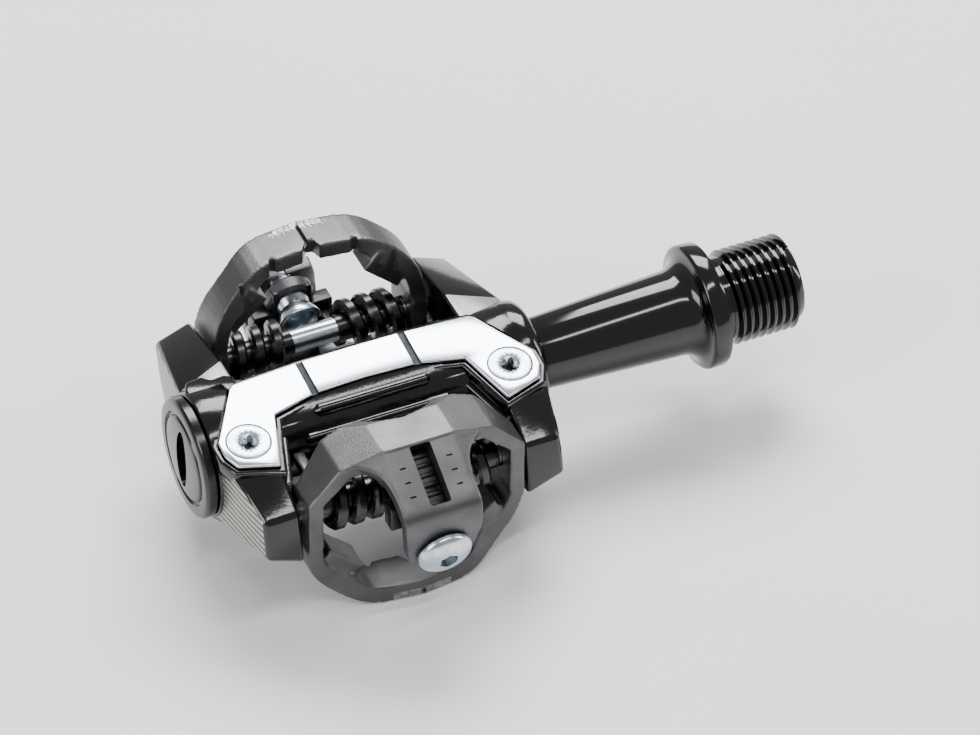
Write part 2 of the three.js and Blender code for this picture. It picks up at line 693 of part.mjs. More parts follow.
/** The slot in the sloping part of the tongue, through which the tension plate shows. */
function tensionWindow() {
  const [width, length] = TONGUE_WINDOW
  const slope = Math.atan2(4.8, 7.9)
  const slot = new THREE.BoxGeometry(width, length, 3 * TONGUE_THICK)
  return solid(slot.rotateX(slope).translate(0, JAW_FACE_Y - 4.5, JAW_TOP_Z - 2.8))
}

/** An inward tooth of the claw, on one side of its seam. */
function clawTooth(side) {
  const [wall, foot] = [JAW_HALF - JAW_WALL, -JAW_FOOT_Z]
  const section = [
    [wall + 0.7, foot + 7.1],
    [wall - 4.3, foot + 2.8],
    [wall - 6.9, foot + 5.6],
    [wall - 1.6, foot + 10.6],
  ]
  const corners = section.flatMap(([x, z]) =>
    TOOTH_Y.map((y) => new THREE.Vector3(side * x, PIN_Y + y, z)))
  return solid(new ConvexGeometry(corners))
}

function jaw(name) {
  const tongue = solid(alongX(tongueSide(), -TONGUE_HALF, TONGUE_HALF))
  const whole = join(cut(jawRing(), ...lipCuts()), tongue, tongueShoulders(), clawTooth(1), clawTooth(-1))
  const pinHole = solid(rod(-JAW_HALF - 1, JAW_HALF + 1, PIN_D + 2 * RUN_GAP, 20).translate(0, PIN_Y, 0))
  const seam = solid(block(
    [-SEAM_WIDTH / 2, JAW_FACE_Y - 4, -JAW_FOOT_Z - 1],
    [SEAM_WIDTH / 2, PIN_Y, -JAW_FOOT_Z + SEAM_DEPTH],
  ))
  const screwHole = solid(placeAdjuster(rod(-3, 2 * TONGUE_THICK, ADJUSTER_D + 2 * RUN_GAP, 20)))
  return piece(name, cut(whole, pinHole, seam, screwHole, tensionWindow()), castSteel)
}

function pivotPin(name) {
  const pin = solid(turned([
    [PIN_BLIND_X, 0],
    [PIN_BLIND_X, PIN_D / 2 - 0.4],
    [PIN_BLIND_X + 0.4, PIN_D / 2],
    [PIN_HEAD_X, PIN_D / 2],
    [PIN_HEAD_X, PIN_HEAD_D / 2],
    [PIN_HEAD_X + PIN_HEAD_LENGTH - 0.4, PIN_HEAD_D / 2],
    [PIN_HEAD_X + PIN_HEAD_LENGTH, PIN_HEAD_D / 2 - 0.4],
    [PIN_HEAD_X + PIN_HEAD_LENGTH, 0],
  ], 20).translate(0, PIN_Y, 0))
  const head = PIN_HEAD_X + PIN_HEAD_LENGTH
  const key = solid(alongX(hexagon(PIN_KEY), head - 1.5, head + 1).translate(0, PIN_Y, 0))
  return piece(name, cut(pin, key), brightSteel)
}

/** A coil spring's wire, from its leg on the barrel, round the pin, to its leg on the tension plate. */
class SpringPath extends THREE.Curve {
  constructor(side) {
    super()
    this.side = side
    this.radius = (SPRING_BORE + SPRING_WIRE) / 2
    this.centre = [PIN_Y + SPRING_SAG[0], SPRING_SAG[1]]
    this.barrelLeg = -this.centre[0] - BARREL_D / 2
    this.plateLeg = this.centre[0] - TENSION_FACE_Y - SEAT_GAP
    this.coil = SPRING_COILS * 2 * Math.PI * this.radius
    this.total = this.barrelLeg + this.coil + this.plateLeg
  }

  getPoint(share, target = new THREE.Vector3()) {
    const [centreY, centreZ] = this.centre
    const run = share * this.total
    const inner = SPRING_INNER_X + SPRING_WIRE / 2
    const outer = SPRING_INNER_X + SPRING_LENGTH - SPRING_WIRE / 2
    const top = centreZ + this.radius
    if (run <= this.barrelLeg) return target.set(this.side * outer, centreY + this.barrelLeg - run, top)
    if (run >= this.barrelLeg + this.coil) {
      return target.set(this.side * inner, centreY - (run - this.barrelLeg - this.coil), top)
    }
    const turn = (run - this.barrelLeg) / this.coil
    const angle = Math.PI / 2 + turn * SPRING_COILS * 2 * Math.PI
    return target.set(
      this.side * (outer + (inner - outer) * turn),
      centreY + this.radius * Math.cos(angle),
      centreZ + this.radius * Math.sin(angle),
    )
  }
}

function torsionSpring(name, side) {
  const path = new SpringPath(side)
  const wire = new THREE.ExtrudeGeometry(outline(circle(SPRING_WIRE, 0, 0, 6)), {
    extrudePath: path,
    steps: 52,
    bevelEnabled: false,
  })
  return piece(name, solid(wire), blackSatin)
}

/** Puts a shape drawn along X, from the screw's seat inwards, onto the adjusting screw's axis. */
function placeAdjuster(geometry) {
  const onY = geometry.rotateZ(Math.PI / 2)
  return onY.rotateX(ADJUSTER_DROP).translate(0, ADJUSTER_SEAT[0], ADJUSTER_SEAT[1])
}

/** The nut on the adjusting screw, whose wings hold the spring legs. */
function tensionPlate(name) {
  const back = TENSION_FACE_Y - TENSION_THICK
  const stem = solid(alongX([
    [TENSION_FACE_Y, 5.6],
    [back, 4],
    [back, -3.4],
    [TENSION_FACE_Y, -4],
  ], -TENSION_HALF, TENSION_HALF))
  const wings = solid(alongX([
    [TENSION_FACE_Y, 5],
    [back, 3.4],
    [back, 1.6],
    [TENSION_FACE_Y, 2],
  ], -TENSION_WING, TENSION_WING))
  const hole = solid(placeAdjuster(rod(0, 2 * ADJUSTER_LENGTH, ADJUSTER_D + 2 * RUN_GAP, 20)))
  return piece(name, cut(join(stem, wings), hole), blackSatin)
}

function adjustingScrew(name) {
  const seat = -SEAT_GAP
  const dome = [0, 0.25, 0.5, 0.75, 1].map((share) => {
    const angle = (share * Math.PI) / 2
    const x = seat - 0.5 - (ADJUSTER_HEAD_THICK - 0.5) * Math.cos(angle)
    return [x, (ADJUSTER_HEAD_D / 2) * Math.sin(angle)]
  })
  const shape = solid(turned([
    ...dome,
    [seat, ADJUSTER_HEAD_D / 2],
    [seat, ADJUSTER_D / 2],
    [ADJUSTER_LENGTH - 0.6, ADJUSTER_D / 2],
    [ADJUSTER_LENGTH, ADJUSTER_D / 2 - 0.6],
    [ADJUSTER_LENGTH, 0],
  ], 24))
  const key = solid(alongX(hexagon(ADJUSTER_KEY), seat - ADJUSTER_HEAD_THICK - 1, seat - 0.4))
  const body = cut(shape, key)
  return piece(name, placeAdjuster(geometryOf(body)), brightSteel)
}

/** One jaw with its pin, springs, tension plate and adjusting screw. */
function jawSet(end) {
  const set = new THREE.Group()
  set.add(
    jaw(`${end}_jaw`),
    pivotPin(`${end}_pivot_pin`),
    torsionSpring(`${end}_spring_crank_side`, 1),
    torsionSpring(`${end}_spring_cap_side`, -1),
    tensionPlate(`${end}_tension_plate`),
    adjustingScrew(`${end}_adjusting_screw`),
  )
  return set
}

// ---------------------------------------------------------------- assembly
const halfTurn = (group) => {
  const turnedGroup = new THREE.Group()
  turnedGroup.add(group)
  turnedGroup.rotation.x = Math.PI
  return turnedGroup
}

const pedal = new THREE.Group()
pedal.add(
  spindle(),
  lockNut(),
  lockWasher(),
  innerRace(),
  outerRace(),
  ballCage(),
  bearingShield('bearing_cap_side_shield', bearingFrom + SEAT_GAP),
  bearingShield('bearing_crank_side_shield', bearingTo - SEAT_GAP - SHIELD_THICK),
  plainBush(),
  spindleSeal(),
  endCap(),
  capSealRing(),
  pedalBody(),
  plateSet('top'),
  halfTurn(plateSet('bottom')),
  jawSet('rear'),
  halfTurn(jawSet('front')),
)
pedal.position.x = -CRANK_OFFSET

const assembly = new THREE.Group()
assembly.add(pedal)
export default assembly
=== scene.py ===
"""Looks of a double-sided clipless pedal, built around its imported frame.

Every piece is modelled in millimetres in the pedal's own frame, whose origin is the middle of the
body on the spindle axis, with +X towards the crank and +Z up. The bench then moves it into the
row's frame, in metres. The rear jaw faces -Y, and the front pieces are the rear ones turned over.
"""

from __future__ import annotations

import json
import logging
import math
from collections.abc import Callable, Sequence
from dataclasses import dataclass, field
from enum import Enum

import bmesh
import bpy
from mathutils import Matrix, Vector

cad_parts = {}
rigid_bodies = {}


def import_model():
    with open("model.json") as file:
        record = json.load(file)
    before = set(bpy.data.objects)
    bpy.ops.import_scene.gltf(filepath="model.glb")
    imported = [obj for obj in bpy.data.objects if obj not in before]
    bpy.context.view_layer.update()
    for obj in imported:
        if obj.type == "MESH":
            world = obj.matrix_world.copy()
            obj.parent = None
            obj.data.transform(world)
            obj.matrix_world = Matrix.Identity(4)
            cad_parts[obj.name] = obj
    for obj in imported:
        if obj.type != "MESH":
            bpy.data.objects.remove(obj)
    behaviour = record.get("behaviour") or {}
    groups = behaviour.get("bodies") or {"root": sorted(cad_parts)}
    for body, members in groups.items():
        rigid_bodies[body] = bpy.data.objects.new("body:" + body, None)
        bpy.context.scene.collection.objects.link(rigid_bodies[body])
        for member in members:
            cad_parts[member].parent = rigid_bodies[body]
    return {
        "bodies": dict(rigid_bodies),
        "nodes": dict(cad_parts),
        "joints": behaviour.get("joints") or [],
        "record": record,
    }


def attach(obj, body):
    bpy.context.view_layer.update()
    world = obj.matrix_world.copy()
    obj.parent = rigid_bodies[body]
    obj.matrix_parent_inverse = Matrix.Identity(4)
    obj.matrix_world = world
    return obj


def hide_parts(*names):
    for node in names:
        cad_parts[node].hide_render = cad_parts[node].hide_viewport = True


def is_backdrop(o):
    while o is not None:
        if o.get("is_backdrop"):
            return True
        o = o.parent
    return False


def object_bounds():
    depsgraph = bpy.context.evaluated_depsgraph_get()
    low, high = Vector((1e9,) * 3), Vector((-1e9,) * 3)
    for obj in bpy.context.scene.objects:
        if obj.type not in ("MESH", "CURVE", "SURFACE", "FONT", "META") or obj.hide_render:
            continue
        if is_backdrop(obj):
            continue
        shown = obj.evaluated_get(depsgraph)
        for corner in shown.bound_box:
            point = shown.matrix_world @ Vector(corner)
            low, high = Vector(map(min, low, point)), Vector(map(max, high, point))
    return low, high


LOG = logging.getLogger("pedal")
MM = 0.001
COAT_ROUGHNESS = 0.08
# Where the drift from a finish's shade to its colour starts and ends, on its pattern's 0 to 1.
DRIFT = (0.36, 0.68)
# A wave texture of scale 1 draws a line every 0.314 units.
WAVE_LINE = 0.314
TURN_OVER = Matrix.Rotation(math.pi, 4, "X")
MIRROR_X = Matrix.Scale(-1, 4, (1, 0, 0))
Point = tuple[float, float]
Place = tuple[float, float, float]


class Rides(Enum):
    """The moving bodies that pieces ride on."""

    SPINDLE = "spindle"
    BODY = "pedal_body"
    REAR_JAW = "rear_jaw"
    FRONT_JAW = "front_jaw"
    REAR_SCREW = "rear_adjusting_screw"
    FRONT_SCREW = "front_adjusting_screw"
    REAR_NUT = "rear_tension_plate"
    FRONT_NUT = "front_tension_plate"


class End(Enum):
    """The two ends of the pedal, each with its jaw."""

    REAR = "rear"
    FRONT = "front"

    @property
    def turn(self) -> Matrix:
        """What takes a rear piece to this end."""
        return TURN_OVER if self is End.FRONT else Matrix.Identity(4)


# ------------------------------------------------------------------ mesh work
def deselect() -> None:
    """Leaves nothing selected."""
    bpy.ops.object.select_all(action="DESELECT")


def only(piece: bpy.types.Object) -> None:
    """Selects one piece, makes it active, and nothing else.

    Args:
        piece: the piece to select.
    """
    deselect()
    piece.select_set(True)
    bpy.context.view_layer.objects.active = piece


def closed_up(piece: bpy.types.Object, gap: float = 0.001) -> bpy.types.Object:
    """Merges doubled vertices and turns the faces outwards.

    Args:
        piece: a closed mesh.
        gap: the distance within which vertices are one, in millimetres.

    Returns:
        The same piece.
    """
    only(piece)
    bpy.ops.object.mode_set(mode="EDIT")
    bpy.ops.mesh.select_all(action="SELECT")
    bpy.ops.mesh.remove_doubles(threshold=gap)
    bpy.ops.mesh.dissolve_degenerate(threshold=gap / 10)
    bpy.ops.mesh.delete_loose(use_verts=True, use_edges=True, use_faces=False)
    bpy.ops.mesh.select_all(action="SELECT")
    bpy.ops.mesh.normals_make_consistent(inside=False)
    bpy.ops.object.mode_set(mode="OBJECT")
    return piece


def holes_filled(piece: bpy.types.Object, corners: int) -> bpy.types.Object:
    """Closes the open ends of a piece that have at most so many corners.

    Args:
        piece: an open piece.
        corners: the most corners that an opening has.

    Returns:
        The same piece, closed.
    """
    only(piece)
    bpy.ops.object.mode_set(mode="EDIT")
    bpy.ops.mesh.select_all(action="SELECT")
    bpy.ops.mesh.fill_holes(sides=corners)
    bpy.ops.object.mode_set(mode="OBJECT")
    return closed_up(piece, 0.0005)


def spun(name: str, profile: Sequence[Point], steps: int = 96) -> bpy.types.Object:
    """Spins a closed profile about the X axis.

    Args:
        name: the piece's name.
        profile: corners as (x, radius).
        steps: faces round the axis.

    Returns:
        A closed turned piece.
    """
    deselect()
    bpy.ops.mesh.primitive_circle_add(vertices=len(profile), radius=1, fill_type="NOTHING")
    piece = bpy.context.object
    piece.name = name
    for vertex, (x, radius) in zip(piece.data.vertices, profile):
        vertex.co = (x, 0, radius)
    bpy.ops.object.mode_set(mode="EDIT")
    bpy.ops.mesh.select_all(action="SELECT")
    bpy.ops.mesh.spin(steps=steps, angle=2 * math.pi, center=(0, 0, 0), axis=(1, 0, 0))
    bpy.ops.object.mode_set(mode="OBJECT")
    return closed_up(piece)


def lofted(name: str, sections: Sequence[Sequence[Place]], ring: bool = False) -> bpy.types.Object:
    """Extrudes a section from place to place.

    Args:
        name: the piece's name.
        sections: the corners of each section, all with the same number of them.
        ring: whether the last section joins the first, instead of each end having a face.

    Returns:
        A closed piece.
    """
    deselect()
    fill = "NOTHING" if ring else "NGON"
    bpy.ops.mesh.primitive_circle_add(vertices=len(sections[0]), radius=1, fill_type=fill)
    piece = bpy.context.object
    piece.name = name
    for vertex, corner in zip(piece.data.vertices, sections[0]):
        vertex.co = corner
    bpy.ops.object.mode_set(mode="EDIT")
    bpy.ops.mesh.select_all(action="SELECT")
    following = list(sections[1:]) + ([sections[0]] if ring else [])
    for section in following:
        bpy.ops.mesh.extrude_region_move()
        mesh = bmesh.from_edit_mesh(piece.data)
        moved = sorted((v for v in mesh.verts if v.select), key=lambda v: v.index)
        for vertex, corner in zip(moved, section):
            vertex.co = corner
        bmesh.update_edit_mesh(piece.data)
    bpy.ops.object.mode_set(mode="OBJECT")
    return closed_up(piece)


def prism(name: str, outline: Sequence[Point], low: float, high: float) -> bpy.types.Object:
    """Draws an outline in X and Y up along Z.

    Args:
        name: the piece's name.
        outline: its corners.
        low: the height of its lower face.
        high: the height of its upper face.

    Returns:
        A closed straight piece.
    """
    return lofted(name, [[(x, y, z) for x, y in outline] for z in (low, high)])


def block(name: str, low: Place, high: Place) -> bpy.types.Object:
    """A box from its lowest to its highest corner, as a start for a cut or a bevelled piece."""
    (x0, y0, z0), (x1, y1, z1) = low, high
    return prism(name, [(x0, y0), (x1, y0), (x1, y1), (x0, y1)], z0, z1)


def placed(piece: bpy.types.Object, matrix: Matrix) -> bpy.types.Object:
    """Moves a piece's mesh, and keeps its faces outwards where the move mirrors it.

    Args:
        piece: the piece to move.
        matrix: the move, which may mirror.

    Returns:
        The same piece.
    """
    piece.data.transform(matrix)
    if matrix.determinant() < 0:
        piece.data.flip_normals()
    return piece


def copied(piece: bpy.types.Object, name: str, matrix: Matrix) -> bpy.types.Object:
    """A copy of a piece with a mesh of its own, moved by a matrix.

    Args:
        piece: the piece to copy.
        name: the copy's name.
        matrix: where the copy goes.

    Returns:
        The copy.
    """
    twin = piece.copy()
    twin.data = piece.data.copy()
    twin.name = name
    bpy.context.scene.collection.objects.link(twin)
    return placed(twin, matrix)


def gathered(pieces: Sequence[bpy.types.Object], name: str) -> bpy.types.Object:
    """Puts several meshes into the first one's object.

    Args:
        pieces: the meshes, which keep their own skins.
        name: the name of the result.

    Returns:
        The first piece, with all of them in it.
    """
    deselect()
    for piece in pieces:
        piece.select_set(True)
    bpy.context.view_layer.objects.active = pieces[0]
    bpy.ops.object.join()
    pieces[0].name = name
    return pieces[0]


def shaped(piece: bpy.types.Object, kind: str, **settings: object) -> bpy.types.Object:
    """Adds a modifier, sets it and applies it.

    Args:
        piece: the piece it works on.
        kind: the modifier's type.
        settings: its values by name.

    Returns:
        The same piece.
    """
    only(piece)
    modifier = piece.modifiers.new(kind.lower(), kind)
    for key, value in settings.items():
        setattr(modifier, key, value)
    bpy.ops.object.modifier_apply(modifier=modifier.name)
    return piece


def cut(piece: bpy.types.Object, *tools: bpy.types.Object) -> bpy.types.Object:
    """Takes closed tools out of a piece.

    Args:
        piece: the piece to cut.
        tools: closed shapes, used up by the cut.

    Returns:
        The same piece.
    """
    for tool in tools:
        shaped(piece, "BOOLEAN", operation="DIFFERENCE", solver="EXACT", object=tool)
        bpy.data.objects.remove(tool)
    return piece


def fused(pieces: Sequence[bpy.types.Object], name: str) -> bpy.types.Object:
    """Makes one closed skin of closed pieces that overlap.

    Args:
        pieces: the pieces; the first one takes in the rest.
        name: the name of the result.

    Returns:
        The fused piece.
    """
    whole, *others = pieces
    for other in others:
        shaped(whole, "BOOLEAN", operation="UNION", solver="EXACT", object=other)
        bpy.data.objects.remove(other)
    whole.name = name
    return whole


def rounded(
    piece: bpy.types.Object, width: float, segments: int = 3, angle: float = 24.0
) -> bpy.types.Object:
    """Rounds the edges that are sharper than an angle.

    Args:
        piece: a closed piece.
        width: how far the rounding reaches, in millimetres.
        segments: faces across each rounding.
        angle: the least angle between two faces, in degrees.

    Returns:
        The same piece.
    """
    limit = math.radians(angle)
    return shaped(
        piece,
        "BEVEL",
        width=width,
        segments=segments,
        limit_method="ANGLE",
        angle_limit=limit,
        harden_normals=False,
        use_clamp_overlap=True,
    )


def grown(outline: Sequence[Point], margin: float) -> list[Point]:
    """Moves every side of an outline outwards.

    Args:
        outline: corners in order, clockwise or not.
        margin: how far the sides move.

    Returns:
        The new corners.
    """
    points = [Vector(p) for p in outline]
    count = len(points)
    area = sum(points[i].cross(points[(i + 1) % count]) for i in range(count))
    result = []
    for i in range(count):
        before = (points[i] - points[i - 1]).normalized()
        after = (points[(i + 1) % count] - points[i]).normalized()
        out = Vector((before.y, -before.x)) + Vector((after.y, -after.x))
        reach = margin / max(0.3, out.length_squared / 2) * math.copysign(1, area)
        moved = points[i] + out * reach
        result.append((moved.x, moved.y))
    return result


def mirrored(right: Sequence[Point]) -> list[Point]:
    """Right-hand points, then the same points mirrored, as one closed outline."""
    return list(right) + [(-x, y) for x, y in reversed(right) if x != 0]


def wheel(count: int, radius: Callable[[float], float]) -> list[Point]:
    """Corners round a centre, with the radius at each angle."""
    angles = [2 * math.pi * i / count for i in range(count)]
    return [(radius(a) * math.cos(a), radius(a) * math.sin(a)) for a in angles]


def smooth_run(keys: Sequence[Sequence[float]], steps: int) -> list[list[float]]:
    """A smooth run of values through key rows.

    Args:
        keys: rows of numbers that the run passes through.
        steps: rows for each stretch between two keys.

    Returns:
        All rows, from the first key to the last.
    """
    rows = [list(keys[0])]
    for i in range(len(keys) - 1):
        before, after = keys[max(i - 1, 0)], keys[min(i + 2, len(keys) - 1)]
        for step in range(1, steps + 1):
            t = step / steps
            row = []
            for a, b, c, d in zip(before, keys[i], keys[i + 1], after):
                slope, bend = (c - a) / 2, (d - b) / 2
                curve = (2 * b - 2 * c + slope + bend) * t**3
                curve += (3 * c - 3 * b - 2 * slope - bend) * t**2
                row.append(curve + slope * t + b)
            rows.append(row)
    return rows


def quarter(start: float, rise: float, radius: float, steps: int) -> list[Point]:
    """Points on a low dome for a turned profile, from its top to its rim.

    Args:
        start: the place of the rim along the axis.
        rise: how far the top stands from the rim along the axis.
        radius: the rim's radius.
        steps: faces from top to rim.

    Returns:
        Places as (x, radius).
    """
    turns = [math.pi / 2 * step / steps for step in range(steps + 1)]
    return [(start + rise * math.cos(turn), radius * math.sin(turn)) for turn in turns]


# ------------------------------------------------------------------ finishes
def linear(colour: str) -> tuple[float, float, float, float]:
    """An sRGB hex colour as linear values with full alpha.

    Args:
        colour: the colour as #rrggbb.

    Returns:
        Red, green, blue and alpha.
    """
    parts = [int(colour[i : i + 2], 16) / 255 for i in (1, 3, 5)]
    low = [c / 12.92 if c <= 0.04045 else ((c + 0.055) / 1.055) ** 2.4 for c in parts]
    return (low[0], low[1], low[2], 1.0)


def add_node(
    tree: bpy.types.NodeTree, kind: str, links: dict[str | int, bpy.types.NodeSocket],
    **settings: object
) -> bpy.types.Node:
    """Adds a node with its settings and links.

    Args:
        tree: the material's node tree.
        kind: the node's type.
        links: what feeds each of its inputs.
        settings: attributes of the node, or inputs that keep one value, with _ for a space.

    Returns:
        The node.
    """
    node = tree.nodes.new(kind)
    for key, value in settings.items():
        if hasattr(node, key):
            setattr(node, key, value)
        else:
            node.inputs[key.replace("_", " ")].default_value = value
    for key, socket in links.items():
        tree.links.new(socket, node.inputs[key])
    return node


@dataclass(frozen=True)
class Finish:
    """What all finishes share: a colour and a gloss that vary a little, and a fine relief.

    Scales are real sizes in millimetres.
    """

    name: str
    colour: str
    shade: str
    metallic: float
    roughness: float
    spread: float = 0.06
    mottle_mm: float = 4.0
    grain_mm: float = 0.35
    relief: float = 0.08
    coat: float = 0.0
    stretch: tuple[float, float, float] = (1.0, 1.0, 1.0)

    def material(self) -> bpy.types.Material:
        """Builds the material, once for each name.

        Returns:
            The material.
        """
        found = bpy.data.materials.get(self.name)
        if found:
            return found
        material = bpy.data.materials.new(self.name)
        material.use_nodes = True
        tree = material.node_tree
        shader = tree.nodes["Principled BSDF"]
        shader.inputs["Metallic"].default_value = self.metallic
        shader.inputs["Coat Weight"].default_value = self.coat
        shader.inputs["Coat Roughness"].default_value = COAT_ROUGHNESS
        place = add_node(tree, "ShaderNodeTexCoord", {}).outputs["Object"]
        drawn = add_node(tree, "ShaderNodeMapping", {"Vector": place}, Scale=self.stretch)
        self.dress(tree, shader, drawn.outputs["Vector"])
        return material

    def mottle(
        self, tree: bpy.types.NodeTree, shader: bpy.types.Node, place: bpy.types.NodeSocket
    ) -> None:
        """Lets colour and roughness drift over the surface.

        Args:
            tree: the material's node tree.
            shader: its shader.
            place: the coordinates of the pattern.
        """
        pattern = self.pattern(tree, place)
        ramp = add_node(tree, "ShaderNodeValToRGB", {"Fac": pattern})
        for stop, place_on_ramp, colour in zip(
            ramp.color_ramp.elements, DRIFT, (self.shade, self.colour)
        ):
            stop.position = place_on_ramp
            stop.color = linear(colour)
        tree.links.new(ramp.outputs["Color"], shader.inputs["Base Color"])
        gloss = add_node(
            tree,
            "ShaderNodeMapRange",
            {"Value": pattern},
            To_Min=self.roughness + self.spread,
            To_Max=self.roughness - self.spread,
        )
        tree.links.new(gloss.outputs["Result"], shader.inputs["Roughness"])

    def pattern(
        self, tree: bpy.types.NodeTree, place: bpy.types.NodeSocket
    ) -> bpy.types.NodeSocket:
        """What colour and roughness follow, from 0 to 1.

        Args:
            tree: the material's node tree.
            place: the coordinates of the pattern.

        Returns:
            The socket with that value.
        """
        cloud = add_node(
            tree, "ShaderNodeTexNoise", {"Vector": place}, Scale=1 / (self.mottle_mm * MM),
            Detail=4.0
        )
        return cloud.outputs["Fac"]

    def grain(self, tree: bpy.types.NodeTree, place: bpy.types.NodeSocket) -> bpy.types.NodeSocket:
        """The height of the surface's fine relief, from 0 to 1.

        Args:
            tree: the material's node tree.
            place: the coordinates of the pattern.

        Returns:
            The socket with that height.
        """
        noise = add_node(
            tree, "ShaderNodeTexNoise", {"Vector": place}, Scale=1 / (self.grain_mm * MM),
            Detail=3.0
        )
        return noise.outputs["Fac"]

    def dress(
        self, tree: bpy.types.NodeTree, shader: bpy.types.Node, place: bpy.types.NodeSocket
    ) -> None:
        """Links the colour, the gloss and the relief to the shader.

        Args:
            tree: the material's node tree.
            shader: its shader.
            place: the coordinates of the pattern.
        """
        self.mottle(tree, shader, place)
        bump = add_node(
            tree,
            "ShaderNodeBump",
            {"Height": self.grain(tree, place)},
            Strength=self.relief,
            Distance=self.grain_mm * MM,
        )
        tree.links.new(bump.outputs["Normal"], shader.inputs["Normal"])


@dataclass(frozen=True)
class LinedFinish(Finish):
    """A surface with parallel tool lines, a set distance apart along one axis."""

    pitch_mm: float = 0.5
    axis: str = "X"
    contrast: bool = False

    def pattern(
        self, tree: bpy.types.NodeTree, place: bpy.types.NodeSocket
    ) -> bpy.types.NodeSocket:
        """The tool lines too, where they show in the colour."""
        return self.grain(tree, place) if self.contrast else super().pattern(tree, place)

    def grain(self, tree: bpy.types.NodeTree, place: bpy.types.NodeSocket) -> bpy.types.NodeSocket:
        """The height of the tool lines, broken up a little by noise.

        Args:
            tree: the material's node tree.
            place: the coordinates of the pattern.

        Returns:
            The socket with that height.
        """
        lines = add_node(
            tree,
            "ShaderNodeTexWave",
            {"Vector": place},
            bands_direction=self.axis,
            Scale=WAVE_LINE / (self.pitch_mm * MM),
            Distortion=0.6,
            Detail=2.0,
        )
        return lines.outputs["Fac"]


# Cast aluminium under gloss black paint: soft highlights, and a faint orange peel.
GLOSS_BLACK = Finish(
    name="gloss_black_cast_aluminium", colour="#040405", shade="#020203",
    metallic=0.0, roughness=0.13, spread=0.03,
    mottle_mm=6, grain_mm=0.5, relief=0.04, coat=0.15,
)
# Plated and ground steel: sharper highlights, and rings from the grinding wheel.
SPINDLE_BLACK = LinedFinish(
    name="black_plated_ground_steel", colour="#040405", shade="#030304",
    metallic=0.0, roughness=0.11, spread=0.02,
    mottle_mm=5, grain_mm=0.3, relief=0.01, coat=0.15, pitch_mm=0.35,
)
# Investment-cast steel, gunmetal plated: satin, mottled, and grainy as cast.
GUNMETAL = Finish(
    name="gunmetal_cast_steel", colour="#626163", shade="#565557",
    metallic=0.9, roughness=0.4, spread=0.04,
    mottle_mm=5, grain_mm=0.22, relief=0.2,
)
# The same steel where a shoe has polished it.
WORN_GUNMETAL = Finish(
    name="worn_gunmetal_steel", colour="#9d9b97", shade="#6f6e6d",
    metallic=0.95, roughness=0.34, spread=0.08,
    mottle_mm=0.8, grain_mm=0.3, relief=0.25,
)
# Polished stainless sheet: nearly a mirror, with faint lines from the polishing belt.
POLISHED_STEEL = Finish(
    name="polished_stainless_steel", colour="#dce1e8", shade="#ccd2da",
    metallic=1.0, roughness=0.16, spread=0.04,
    mottle_mm=9, grain_mm=0.3, relief=0.015, stretch=(0.12, 1, 1),
)
# Zinc-plated steel fasteners: bright with a bluish cast.
ZINC_STEEL = Finish(
    name="zinc_plated_steel", colour="#d5dce2", shade="#b9c2ca",
    metallic=1.0, roughness=0.24, spread=0.06,
    mottle_mm=1.5, grain_mm=0.25, relief=0.05,
)
# Oiled black spring wire.
SPRING_BLACK = Finish(
    name="black_spring_steel", colour="#060607", shade="#040405",
    metallic=0.0, roughness=0.26, spread=0.05,
    mottle_mm=1.2, grain_mm=0.25, relief=0.05, coat=0.1,
)
# Black oxide on milled steel.
BLACK_OXIDE = Finish(
    name="black_oxide_steel", colour="#0b0b0c", shade="#070708",
    metallic=0.2, roughness=0.36, spread=0.06,
    mottle_mm=1.5, grain_mm=0.2, relief=0.1,
)
# Painted shade in the plate's grooves: a dull dark grey on the groove faces, darker than the
# polished sheet.
GROOVE_PAINTED_SHADE = Finish(
    name="groove_painted_shade", colour="#3a3e46", shade="#2c3037",
    metallic=0.5, roughness=0.6, spread=0.05,
    mottle_mm=1.5, grain_mm=0.2, relief=0.1,
)
# Bare aluminium left by a milling cutter, in fine steps.
MILLED = LinedFinish(
    name="milled_aluminium", colour="#b7b4ae", shade="#75726d",
    metallic=0.8, roughness=0.42, spread=0.06,
    mottle_mm=3, grain_mm=0.3, relief=0.5, pitch_mm=1.0, axis="Z", contrast=True,
)
# The flats beside the plates, faced by a large cutter and left bare.
FACED = Finish(
    name="faced_aluminium", colour="#b1aca8", shade="#a19c98",
    metallic=0.85, roughness=0.38, spread=0.05,
    mottle_mm=5, grain_mm=0.3, relief=0.08, stretch=(1, 0.1, 1),
)
# Glass-filled nylon, moulded with a light sheen.
NYLON = Finish(
    name="black_moulded_nylon", colour="#060607", shade="#040405",
    metallic=0.0, roughness=0.2, spread=0.05,
    mottle_mm=2, grain_mm=0.2, relief=0.08,
)
# Nitrile rubber.
NITRILE = Finish(
    name="black_nitrile_rubber", colour="#0e0e0e", shade="#090909",
    metallic=0.0, roughness=0.62, spread=0.08,
    mottle_mm=1.5, grain_mm=0.2, relief=0.1,
)
# Filled bearing polymer, ochre.
BUSH_POLYMER = Finish(
    name="ochre_bearing_polymer", colour="#b08a4a", shade="#97743b",
    metallic=0.0, roughness=0.5, spread=0.08,
    mottle_mm=1.5, grain_mm=0.2, relief=0.1,
)
# Hardened and ground bearing steel.
BEARING_STEEL = Finish(
    name="ground_bearing_steel", colour="#d8dadc", shade="#c4c7ca",
    metallic=1.0, roughness=0.16, spread=0.04,
    mottle_mm=2, grain_mm=0.2, relief=0.03,
)


